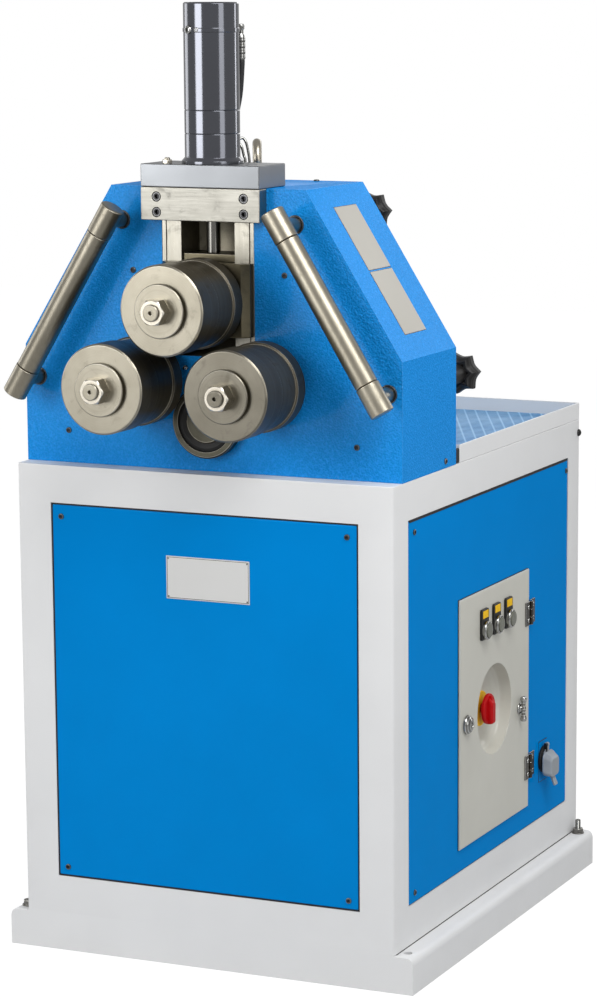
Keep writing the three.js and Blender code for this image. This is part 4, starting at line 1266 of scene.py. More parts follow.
@dataclass
class Plinth:
    """The base box that the cabinet stands on, with its floor anchors."""

    half_x: float = 345.0
    half_y: float = 395.0
    ledge: float = 57.5
    top_edge: float = 13.0
    foot_edge: float = 0.8
    end_inset: tuple[float, ...] = (0.8, 0.25, 0.0)
    end_place: tuple[float, ...] = (0.0, 0.25, 0.9)
    seat_half_x: float = 315.3
    seat_inset: float = 9.0
    seat_span: Pair = (-4.0, 0.45)
    strip_half_x: float = 313.4
    strip_depth: float = 6.0
    strip_proud: float = 0.02
    strip: Pair = (56.6, 60.7)
    anchor_x: float = 326.5
    anchor_y: float = 370.0
    bore: float = 7.0
    bore_span: Pair = (-5.0, 80.0)
    stud: float = 5.0
    stud_foot: float = -30.0
    stud_tips: Pair = (10.0, 24.0)
    nut: float = 9.4
    nut_bore: float = 5.1
    nut_span: Pair = (2.0, 9.0)
    washer: float = 10.5
    washer_bore: float = 5.3
    anchored: tuple[tuple[int, int, bool], ...] = ((-1, -1, False), (-1, 1, True), (1, 1, True))

    def shell(self) -> Shell:
        """The section in x and z, with rounded top corners, carried along y.

        The rows at both ends are the same section, drawn in a little towards its middle.

        Returns:
            The surface.
        """
        wide, high, foot, top = self.half_x, self.ledge, self.foot_edge, self.top_edge
        corners = [[-wide, 0], [wide, 0], [wide, high], [-wide, high]]
        section, _ = eased(corners, [foot, foot, top, top], looped=True, steps=8)
        inset = np.array([*self.end_inset, *self.end_inset[::-1]])[:, None]
        place = np.array(self.end_place)
        along = np.concatenate([place - self.half_y, (self.half_y - place)[::-1]])[:, None]
        middle = high / 2
        x = section[:, 0] * (1 - inset / wide)
        z = middle + (section[:, 1] - middle) * (1 - inset / middle)
        return through_rows(np.stack([x, np.broadcast_to(along, x.shape), z], axis=-1))

    def make(self) -> None:
        """Makes the base with its anchor holes, the seal and seams on it, and the anchors."""
        made = Piece("plinth", self.shell(), Finishes.LIGHT, ["base_plinth"]).make()
        places = [(sx * self.anchor_x, sy * self.anchor_y, 0) for sx in (-1, 1) for sy in (-1, 1)]
        bore = [[self.bore, end] for end in self.bore_span]
        bored(made, joined(*[lathed(bore, place, Axis.Z, sides=SMALL_ROUND) for place in places]))
        seat_y, (low, high) = self.half_y - self.seat_inset, self.seat_span
        seat = rounded_block((-self.seat_half_x, -seat_y, self.ledge + low),
                             (self.seat_half_x, seat_y, self.ledge + high), 0.4)
        Piece("frame_seal", seat, Finishes.GASKET).make()
        wide, (low, high) = self.strip_half_x, self.strip
        inner, outer = self.half_y - self.strip_depth, self.half_y + self.strip_proud
        strips = [rounded_block((-wide, start, low), (wide, end, high), 0.1)
                  for start, end in ((-outer, -inner), (inner, outer))]
        Piece("filled_seams", joined(*strips), Finishes.LIGHT).make()
        for number, (sx, sy, tall) in enumerate(self.anchored, 1):
            place = (sx * self.anchor_x, sy * self.anchor_y, self.ledge + 0.05)
            self.anchor(number, place, self.stud_tips[tall])

    def anchor(self, number: int, place: Vec, tip: float) -> None:
        """Sets one floor anchor: a nut on its washer, and the threaded stud.

        Args:
            number: its number in the names of its pieces.
            place: where its washer lies on the ledge.
            tip: how high its stud stands over that place.
        """
        nut = hexagon_nut(self.nut, *self.nut_span, place, Axis.Z, bore=self.nut_bore)
        inner, outer, thick = self.washer_bore, self.washer, self.nut_span[0]
        disc = lathed([[inner, 0], [outer, 0], [outer, thick], [inner, thick]], place, Axis.Z, 0.4,
                      looped=True)
        Piece(f"anchor_nut_{number}", joined(nut, disc), Finishes.ZINC).make()
        stud = threaded(self.stud, self.stud_foot, tip, place, Axis.Z)
        Piece(f"anchor_stud_{number}", stud, Finishes.CHROME).make()


def threaded(radius: float, start: float, end: float, origin: Vec, axis: Way, pitch: float = 1.75) -> Shell:
    """A threaded stud: its radius falls and rises once for each pitch, up to a chamfered end.

    Args:
        radius: radius over the thread.
        start: place of its foot along the axis.
        end: place of its end.
        origin: the axis passes through it.
        axis: direction of the axis.
        pitch: length of one turn of the thread.

    Returns:
        The surface.
    """
    along = np.linspace(start, end, int((end - start) / pitch * 6))
    wave = 0.06 * radius * (1 - np.cos(2 * np.pi * along / pitch))
    chamfer = np.clip(1.4 - (end - along), 0, None)
    radii = radius - wave - chamfer
    return stacked(along, np.repeat(radii[:, None], SMALL_ROUND, axis=1), origin, axis)


def bored(made: bpy.types.Object, cutter: Shell) -> None:
    """Cuts closed shapes out of an object's mesh and smooths it again.

    Args:
        made: the object.
        cutter: the shapes that are cut out.
    """
    mesh = bpy.data.meshes.new("cutter")
    mesh.from_pydata((cutter.points * MM).tolist(), [], cutter.faces)
    tool = bpy.data.objects.new("cutter", mesh)
    bpy.context.scene.collection.objects.link(tool)
    cut = made.modifiers.new("bores", "BOOLEAN")
    cut.operation = "DIFFERENCE"
    cut.solver = "EXACT"
    cut.object = tool
    kept = [modifier for modifier in made.modifiers if modifier.type == "WEIGHTED_NORMAL"]
    for modifier in kept:
        modifier.show_viewport = False
    graph = bpy.context.evaluated_depsgraph_get()
    result = bpy.data.meshes.new_from_object(made.evaluated_get(graph))
    made.modifiers.remove(cut)
    made.data = result
    bpy.data.objects.remove(tool)
    for modifier in kept:
        modifier.show_viewport = True
    shade(made)


@dataclass
class Cabinet:
    """The light grey frame, its blue panels with their screws, and the tray on top."""

    half_x: float = 315.0
    half_y: float = 395.0
    recess: float = 0.6
    gap: float = 1.9
    shrink: float = 0.8
    seal_back: float = 1.4
    # A black strip in the top gap of each side panel, which is painted shadow under the frame's lip.
    gap_middle: float = 314.75
    gap_half: float = 0.3
    gap_inset: float = 2.0
    gap_heights: Pair = (707.6, 711.3)
    screw: Pair = (4.6, 2.2)
    front_screws: tuple[float, ...] = (-240.0, 240.0)
    side_screws: tuple[float, ...] = (-316.0, 331.0)
    screw_heights: tuple[float, ...] = (136.0, 691.0)
    bare_corner: Pair = (331.0, 136.0)
    front_sunk: float = 0.05
    rear_sunk: float = 1.65
    name_plate: tuple[float, ...] = (-60.0, 80.0, 577.0, 643.0)
    rivet_inset: float = 4.0
    border_inset: float = 1.6
    border_width: float = 0.7
    stop_x: float = 312.4
    stop_half: float = 2.4
    stop_y: Pair = (-153.7, -139.3)
    stop_z: Pair = (771.5, 793.5)
    dome: Pair = (388.0, 748.0)

    def panel(self, node: str, out: Vec) -> None:
        """Makes one panel, the black seal in the gap round it, and on a side panel a black strip in its top
        gap that is painted shadow.

        Args:
            node: the CAD node of the panel.
            out: the direction that the panel faces.
        """
        low, high = cad_corners(node)
        facing_out, half = np.array(out), (high - low) / 2
        side = np.cross([0, 0, 1.0], facing_out)
        wide, tall = float(np.abs(side) @ half), float(half[2])
        depth = 2 * float(np.abs(facing_out) @ half)
        origin = tuple((low + high) / 2 - facing_out * depth / 2)
        seal = rim(wide + self.gap, tall + self.gap, self.gap + self.shrink - 0.1, 0.05,
                   depth - self.seal_back)
        Piece(node + "_seal", placed(seal, origin, tuple(side), Axis.Z, out), Finishes.GASKET).make()
        # A side panel gets a thin black strip in its top gap: painted shadow under the frame's lip.
        if facing_out[0]:
            middle, reach = float(facing_out[0]) * self.gap_middle, wide - self.gap_inset
            low_z, high_z = self.gap_heights
            gap = rounded_block((middle - self.gap_half, -reach, low_z),
                                (middle + self.gap_half, reach, high_z), 0.2)
            Piece(node + "_top_shadow_strip", gap, Finishes.GASKET).make()
        if node == "right_panel":
            softened(node, Finishes.BLUE, 1.5)
            return
        shape = slab(wide - self.shrink, tall - self.shrink, depth, 2.0)
        sheet = placed(shape, origin, tuple(side), Axis.Z, out)
        Piece(node + "_sheet", sheet, Finishes.BLUE, [node]).make()

    def panels(self) -> None:
        """Makes the frame and the four panels."""
        softened("cabinet_frame", Finishes.LIGHT, 2.8, 4)
        directions = {"front_panel": (0, -1, 0), "rear_panel": (0, 1, 0),
                      "left_panel": (-1, 0, 0), "right_panel": (1, 0, 0)}
        for node, out in directions.items():
            self.panel(node, out)

    def screws(self) -> None:
        """Sets a screw near each corner of each panel, but for the right panel's bare corner."""
        for side, sign, sunk in (("front", -1.0, self.front_sunk), ("rear", 1.0, self.rear_sunk)):
            face = sign * self.half_y - sign * (self.recess + sunk)
            self.screw_set(side, [(x, face, z) for x in self.front_screws
                                  for z in self.screw_heights], (0, sign, 0))
        for side, sign in (("left", -1.0), ("right", 1.0)):
            face = sign * self.half_x - sign * (self.recess + self.front_sunk)
            self.screw_set(side, [(face, y, z) for y in self.side_screws for z in self.screw_heights
                                  if side == "left" or (y, z) != self.bare_corner], (sign, 0, 0))

    def screw_set(self, side: str, places: list[Vec], out: Vec) -> None:
        """Makes one panel's screws, at the given places and facing out."""
        heads = [socket_screw(*self.screw, place, out) for place in places]
        Piece(f"{side}_panel_screws", joined(*heads), Finishes.BLACKENED).make()

    def plate(self) -> None:
        """Puts the bare name plate on the front panel."""
        left, right, low, high = self.name_plate
        face, front = self.recess - self.half_y, (0, -1, 0)
        body = rounded_block((left, face - 1.0, low), (right, face - 0.05, high), 0.4)
        rivet = [[0.6, 0], [1.5, 0.1], [1.2, 0.7], [0.4, 0.9]]
        rivets = [lathed(rivet, (x, face - 1.0, z), front, 0.2, SMALL_ROUND)
                  for x in (left + self.rivet_inset, right - self.rivet_inset)
                  for z in (low + self.rivet_inset, high - self.rivet_inset)]
        Piece("name_plate", body, Finishes.PLATE).make()
        ring = rim((right - left) / 2 - self.border_inset, (high - low) / 2 - self.border_inset,
                   self.border_width, 0.0, 0.2)
        middle = ((left + right) / 2, face - 0.9, (low + high) / 2)
        border = placed(ring, middle, Axis.X, Axis.Z, front)
        Piece("name_plate_border", border, Finishes.BLACKENED).make()
        Piece("name_plate_rivets", joined(*rivets), Finishes.CHROME).make()

    def tray(self) -> None:
        """Makes the tray, the mat in it, its rubber stops and the domed screws below it."""
        softened("work_tray", Finishes.LIGHT, 1.0)
        Piece("tray_mat_sheet", block_for("tray_mat", 1.2), Finishes.MAT, ["tray_mat"]).make()
        (near, far), (low, high) = self.stop_y, self.stop_z
        stops = [rounded_block((side * self.stop_x - self.stop_half, near, low),
                               (side * self.stop_x + self.stop_half, far, high), 1.2)
                 for side in (-1, 1)]
        dome = [[5.8, -0.05], [6.2, 0.8], [5.2, 3.0], [2.8, 4.4]]
        domes = [lathed(dome, (side * self.half_x, *self.dome), (side, 0, 0), 1.2, LESSER_ROUND)
                 for side in (-1, 1)]
        Piece("tray_stops", joined(*stops, *domes), Finishes.BLACK).make()

    def make(self) -> None:
        """Makes every piece of the cabinet."""
        self.panels()
        self.screws()
        self.plate()
        self.tray()


@dataclass
class Head:
    """The blue head with its rails, covers, plates, screws and lifting eye."""

    front: float = -361.0
    half_x: float = 315.0
    shoulder: float = 950.0
    top: float = 1197.0
    top_half: float = 161.0
    plate_spans: tuple[Pair, ...] = ((39.0, 146.4), (148.4, 257.0))
    plate_y: Pair = (-303.0, -222.0)
    slot_half: float = 76.6
    slot_depth: Pair = (0.6, 62.0)
    slot_foot: float = 935.0
    seam_x: float = 69.0
    seam_foot: float = 946.0
    screw: Pair = (4.6, 2.4)
    front_screws: tuple[Pair, ...] = ((-126.0, 1070.0), (126.0, 1070.0), (-242.0, 820.0), (242.0, 820.0))
    side_screw: Pair = (-196.5, 781.0)
    roof_screw: Pair = (89.7, -168.0)
    nipple: Pair = (-39.0, 926.0)
    drive_z: float = 846.5
    eye_y: float = -190.0
    eye_turn: float = 0.322 * 2 * math.pi
    eye_ring: Pair = (24.5, 7.0)

    def make(self) -> None:
        """Makes every piece of the head."""
        # Its roundings take the lighter blue, a painted highlight along the head's edges.
        housing = softened("head_housing", Finishes.BLUE_HAMMERED, 4.5, 5, Finishes.BLUE_RUBBED)
        reach, (near, far) = self.slot_half + 0.4, self.slot_depth
        repainted(housing, Finishes.SLOT, (-reach, self.front + near, self.slot_foot),
                  (reach, self.front + far, self.top - 0.4))
        softened("head_rear_cover", Finishes.BLUE_HAMMERED, 1.5)
        for side in ("left", "right"):
            softened(f"{side}_slide_rail", Finishes.RAIL, 0.6)
        self.seams()
        self.screws()
        self.slope_plates()
        self.bearing()
        self.eye()

    def seams(self) -> None:
        """Draws the wavy joint line down each rail: its x is a sum of three slow sines."""
        z = np.linspace(self.seam_foot, self.top - 2.5, 60)
        wave = 0.5 * np.sin(z / 11.0) + 0.35 * np.sin(z / 4.7 + 1.0) + 0.2 * np.sin(z / 2.3)
        y = np.full_like(z, self.front + 0.35)
        lines = [swept(np.stack([sign * self.seam_x + wave, y, z], axis=-1), 0.55, 8) for sign in (-1, 1)]
        Piece("rail_seams", joined(*lines), Finishes.SEAM).make()

    def screws(self) -> None:
        """Sets the small socket screws of the head, and the grease nipple."""
        front, side = self.front + 0.05, self.half_x - 0.05
        spots = [((x, front, z), (0, -1, 0)) for x, z in self.front_screws]
        spots += [((sign * side, *self.side_screw), (sign, 0, 0)) for sign in (1, -1)]
        spots.append(((*self.roof_screw, self.top - 0.05), (0, 0, 1)))
        heads = [socket_screw(*self.screw, place, out) for place, out in spots]
        Piece("head_screws", joined(*heads), Finishes.BLACKENED).make()
        x, z = self.nipple
        nipple = lathed([[3.5, 0], [3.5, 3], [2.0, 4], [2.8, 7], [1.4, 8.6]], (x, front, z),
                        (0, -1, 0), 0.5, SMALL_ROUND)
        Piece("grease_nipple", nipple, Finishes.CHROME).make()

    def slope_plates(self) -> None:
        """Puts the two bare plates on the right slope, each over its dark edge."""
        run = np.array([self.top_half - self.half_x, 0, self.top - self.shoulder])
        up = run / np.linalg.norm(run)
        out = np.array([up[2], 0, -up[0]])
        low, high = self.plate_y
        layers = {"slope_plate": (0.8, 0.05, 0.7, Finishes.SLOPE_PLATE),
                  "slope_plate_edge": (0.0, 0.02, 0.35, Finishes.BLACKENED)}
        for number, (start, end) in enumerate(self.plate_spans, 1):
            for name, (inset, back, face, finish) in layers.items():
                flat = rounded_block((start + inset, low + inset, back),
                                     (end - inset, high - inset, face), 0.15)
                shell = placed(flat, (self.half_x, 0, self.shoulder), tuple(up), Axis.Y, tuple(out))
                Piece(f"{name}_{number}", shell, finish, slot="light_paint").make()

    def bearing(self) -> None:
        """Makes the bearing cap, the seal in it and the face of the shaft's disc."""
        centre = (0.0, 0.0, self.drive_z)
        cap = lathed([[31.5, -374.5], [45, -374.5], [45, -379.5], [52.5, -379.5], [55, -377],
                      [55, -361.3], [50, -361.3], [50, -345], [31.5, -345]], centre, Axis.Y, 0.7,
                     looped=True)
        Piece("bearing_cap", cap, Finishes.CAP, ["drive_bearing_cap"]).make()
        seal = lathed([[31.6, -374.6], [44.9, -374.6], [44.9, -376.4], [39, -377.2], [31.6, -376.0]],
                      centre, Axis.Y, 0.6, looped=True)
        Piece("bearing_seal", seal, Finishes.BLACK).make()
        disc = lathed([[2.5, -376.2], [3.2, -378.0], [29.8, -378.1], [30.9, -377.2], [30.9, -374]],
                      centre, Axis.Y, 0.6)
        Piece("drive_disc_face", disc, Finishes.CAP, body=Body.DRIVE).make()

    def eye(self) -> None:
        """Makes the lifting eye."""
        foot, (radius, wire) = self.top + 0.3, self.eye_ring
        ring = torus(radius, wire, (0.0, self.eye_y, foot + 8 + radius),
                     (-math.sin(self.eye_turn), math.cos(self.eye_turn), 0.0))
        collar = lathed([[13, foot], [14, foot + 1], [14, foot + 5], [9.5, foot + 9]],
                        (0, self.eye_y, 0), Axis.Z, 1.0)
        Piece("eye_bolt", joined(ring, collar), Finishes.NUT, ["lifting_eye"], slot="ground_steel").make()


@dataclass
class Press:
    """Cross bar, cylinder, rod, slide and the pressure hose."""

    cylinder_y: float = -341.3
    bar_front: float = -386.3
    block_top: float = 1231.3
    barrel_foot: float = 1231.6
    barrel_top: float = 1468.0
    barrel_radius: float = 41.3
    port_height: float = 1430.0
    port_turn: float = 0.193 * 2 * math.pi
    bolt: float = 6.7
    bolt_bore: float = 7.7
    bolts: tuple[Pair, ...] = ((-72.0, 1183.0), (72.0, 1183.0), (-72.0, 1160.0), (72.0, 1160.0))
    foot_bolt: Pair = (-60.0, -372.0)
    plugs: tuple[tuple[float, float, float], ...] = ((-2.04, 6.6, 3.6), (-1.66, 3.6, 1.6))
    pipe_radius: float = 2.1
    pipes: tuple[Vec, ...] = ((20.0, -280.0, 1266.0), (13.5, -281.0, 1258.0))
    clamp: tuple[Vec, Vec] = ((10.0, -288.6, 1256.0), (17.0, -282.0, 1272.0))
    roof: float = 1197.4
    hose_radius: float = 5.4
    hose_reach: float = 60.0
    hose_drift: float = 15.0
    hose_sag: float = 4.0
    hose_drop: float = 47.0
    hose_foot: float = 1275.0
    route_points: int = 48

    def make(self) -> None:
        """Makes every piece of the press."""
        self.bar()
        self.cylinder()
        self.slide()
        self.hose()

    def bar(self) -> None:
        """Makes the cross bar with its four bolts, and the block above it."""
        bar = Piece("cross_bar", block_for("crossbar", 1.2), Finishes.GROUND, ["crossbar"]).make()
        places = [(x, self.bar_front, z) for x, z in self.bolts]
        bored(bar, joined(*[lathed([[self.bolt_bore, -2], [self.bolt_bore, 8]], place, Axis.Y, 0.1,
                                   SMALL_ROUND) for place in places]))
        heads = [socket_screw(self.bolt, 7.4, (x, y + 7.6, z), (0, -1, 0), domed=False) for x, y, z in places]
        Piece("bar_bolts", joined(*heads), Finishes.BLACKENED).make()
        # Near-black discs on the floors of the bolt bores: painted shade in the gaps round the heads.
        shaded_floors = [lathed([[self.bolt_bore - 0.1, 7.3], [self.bolt_bore - 0.1, 7.95]], place, Axis.Y, 0.1,
                         SMALL_ROUND) for place in places]
        Piece("bolt_pocket_shade", joined(*shaded_floors), Finishes.BLACKENED).make()
        Piece("cylinder_foot", block_for("cylinder_block", 1.6), Finishes.BLOCK, ["cylinder_block"]).make()
        bolt = hexagon_nut(8.0, -0.05, 6.0, (*self.foot_bolt, self.block_top), Axis.Z)
        tip = lathed([[4.2, 5.9], [4.2, 8.4], [3.2, 9.2]], (*self.foot_bolt, self.block_top), Axis.Z, 0.4,
                     SMALL_ROUND)
        Piece("foot_bolt", joined(bolt, tip), Finishes.NUT).make()

    def cylinder(self) -> None:
        """Makes the barrel with its weld, grooves, band and plug, and the rod."""
        foot, top, radius = self.barrel_foot, self.barrel_top, self.barrel_radius
        profile = [[36, foot], [46, foot], [46, foot + 4.2], [radius, foot + 9.4]]
        for groove in (1276.0, 1310.5):
            profile += [[radius, groove - 0.9], [radius - 0.9, groove], [radius, groove + 0.9]]
        profile += [[radius, 1424.4], [radius + 0.9, 1425.0], [radius + 0.9, 1430.0], [radius, 1430.6],
                    [radius, top - 2], [radius - 2, top], [radius - 6, top], [radius - 7, top - 1]]
        barrel = lathed(profile, (0, self.cylinder_y, 0), Axis.Z, 0.35, BIG_ROUND)
        turn = np.array([math.cos(self.port_turn), math.sin(self.port_turn), 0])
        boss = lathed([[7, 38], [7, 48.5], [6.2, 49.3]], (0, self.cylinder_y, self.port_height), turn, 0.4,
                      SMALL_ROUND)
        Piece("barrel", joined(barrel, boss), Finishes.BARREL, ["cylinder_barrel"]).make()
        plugs = [socket_screw(size, tall, (radius * math.cos(a), self.cylinder_y + radius * math.sin(a),
                                           1428.0), (math.cos(a), math.sin(a), 0)) for a, size,
                 tall in self.plugs]
        Piece("barrel_plugs", joined(*plugs), Finishes.CHROME).make()
        rod = lathed([[8, 1098.3], [10.5, 1099], [10.5, 1349.8], [32.5, 1349.8], [32.5, 1375.8], [5, 1375.8]],
                     (0, self.cylinder_y, 0), Axis.Z, 0.5)
        Piece("piston_and_rod", rod, Finishes.ROD, ["piston_rod"], body=Body.SLIDE).make()

    def slide(self) -> None:
        """Makes the slide and its cap."""
        softened("slide_block", Finishes.OILED, 0.9, body=Body.SLIDE, slot="dark_steel")
        Piece("slide_top", block_for("slide_cap", 1.2), Finishes.OILED, ["slide_cap"], body=Body.SLIDE).make()

    def behind(self, distance: float, drift: float, height: float) -> Vec:
        """A place behind the cylinder's axis in the port's direction, drawn aside by a drift."""
        return (math.cos(self.port_turn) * distance - drift,
                self.cylinder_y + math.sin(self.port_turn) * distance, height)

    def hose(self) -> None:
        """Makes the hose with its elbow and crimped ferrules, and the two small bent pipes."""
        top, foot = self.port_height - self.hose_drop, self.hose_foot
        reach, drift, radius, roof = self.hose_reach, self.hose_drift, self.hose_radius, self.roof
        knots = [self.behind(reach, 0, top + 2), self.behind(reach, 0, top - 8.6),
                 self.behind(reach + self.hose_sag, drift / 2, (top + foot) / 2),
                 self.behind(reach, drift, foot + 8.6), self.behind(reach, drift, foot - 2)]
        tube = swept(smooth_route(knots, self.route_points), radius)
        upper, lower = self.behind(reach, 0, 0), self.behind(reach, drift, 0)
        crimps = [[5.8, 0]] + [[6.9 - 0.6 * (k % 2), 2.5 + 4.4 * k] for k in range(8)] + [[radius, 36]]
        neck = [[4.2, top + 38], [4.2, top + 44], [5.6, top + 45], [5.6, top + 51], [4.4, top + 52.5]]
        elbow = swept(np.array([self.behind(49.6 + k * 2.6, 0, self.port_height) for k in range(5)]), radius)
        ferrules = [lathed([[r, a + top] for r, a in crimps] + neck, upper, Axis.Z, 0.7, SMALL_ROUND),
                    lathed([[r, foot - a] for r, a in crimps] + [[6.4, foot - 42], [6.4, roof + 12.6]], lower,
                           Axis.Z, 0.7, SMALL_ROUND)]
        Piece("hose", tube, Finishes.HOSE, ["pressure_hose"]).make()
        union = hexagon_nut(9.0, roof, roof + 13.9, lower, Axis.Z)
        Piece("hose_ends", joined(*ferrules, union, elbow), Finishes.CHROME).make()
        pipes, nuts = [], []
        for x, y, rise in self.pipes:
            knees = [(x - 6, y - 6, rise - 2), (x, y, rise), (x + 5, y + 0.5, rise - 6),
                     (x + 8, y + 1, rise - 18), (x + 10.4, y + 1, 1232), (x + 12, y + 1, 1198)]
            pipes.append(swept(smooth_route(knees, self.route_points), self.pipe_radius, 16))
            nuts.append(hexagon_nut(4.6, roof, 1205, (x + 12, y + 1, 0), Axis.Z))
        Piece("return_pipes", joined(*pipes, *nuts), Finishes.CHROME).make()
        Piece("pipe_clamp", rounded_block(*self.clamp, 1.6), Finishes.NUT).make()


@dataclass
class Roll:
    """One roll: shaft, three rings, washer and nut."""

    name: str
    x: float
    z: float
    shaft_rear: float
    front: float = -514.3
    radius: float = 67.5
    bore: float = 20.3
    # How bright this roll's steel is; the right roll's lower tone is painted shade.
    tone: float = 1.0

    def ring(self, radius: float, start: float, end: float, chamfer: float) -> Shell:
        """A bored ring with chamfered rims.

        Args:
            radius: radius of the ring.
            start: place of its front on the roll's axis.
            end: place of its back.
            chamfer: width of the chamfers.

        Returns:
            The surface.
        """
        profile = [[self.bore, start], [radius - chamfer, start], [radius, start + chamfer],
                   [radius, end - chamfer], [radius - chamfer, end], [self.bore, end]]
        return lathed(profile, (self.x, 0, self.z), Axis.Y, 0.45, BIG_ROUND, looped=True)

    def make(self) -> None:
        """Makes the roll's pieces."""
        body = self.name
        face = roll_face(self.name + "_face_steel", self.x, self.z, self.tone)
        side = Steel(self.name + "_side_steel", "dark_steel", (0.095, 0.08, 0.052), (0.05, 0.042, 0.028),
                     Lay.TURNED, roughness=0.42, centre=(self.x * MM, 0.0, self.z * MM),
                     worn_edge=(0.5, 0.47, 0.4), metallic=0.6)
        centre = (self.x, 0.0, self.z)
        made = Piece(self.name + "_work_ring", self.ring(self.radius, self.front, self.front + 55.7, 2.5),
                     side, [self.name + "_front_ring"], body=body, slot="roll_steel").make()
        reach = (self.x - 80, self.front - 5, self.z - 80), (self.x + 80, self.front + 3, self.z + 80)
        repainted(made, face, *reach, facing_front=True)
        Piece(self.name + "_spacer", self.ring(self.radius - 3, self.front + 56, self.front + 103.7, 0.3),
              side, [self.name + "_spacer_ring"], body=body).make()
        Piece(self.name + "_back_ring", self.ring(self.radius, self.front + 104, self.front + 133.5, 2.5),
              side, [self.name + "_rear_ring"], body=body).make()
        end = self.front - 34
        shaft = lathed([[1.6, end + 5], [3.0, end + 0.6], [3.2, end], [11.2, end], [12.5, end + 1.3],
                        [12.5, self.front], [20, self.front], [20, -380.5], [25, -380.5],
                        [25, self.shaft_rear]], centre, Axis.Y, 0.4)
        Piece(self.name + "_axle", shaft, face, [self.name + "_shaft"], body=body).make()
        # The washer's rim and back keep the dark oiled steel and only its face is bright: the dark side is
        # painted shade.
        washer = lathed([[12.8, self.front - 0.9], [38.4, self.front - 0.9], [40, self.front - 2.0],
                         [40, self.front - 6.6], [38.8, self.front - 8], [12.8, self.front - 8]], centre,
                        Axis.Y, 0.5, BIG_ROUND, looped=True)
        plate = Piece(self.name + "_washer", washer, Finishes.OILED, body=body).make()
        repainted(plate, face, (self.x - 80, self.front - 9, self.z - 80),
                  (self.x + 80, self.front - 6.7, self.z + 80), facing_front=True)
        nut = hexagon_nut(20.5, self.front - 30, self.front - 7.9, centre, Axis.Y, bore=12.6)
        Piece(self.name + "_hexagon", nut, Finishes.NUT, [self.name + "_nut"], body=body,
              slot="roll_steel").make()


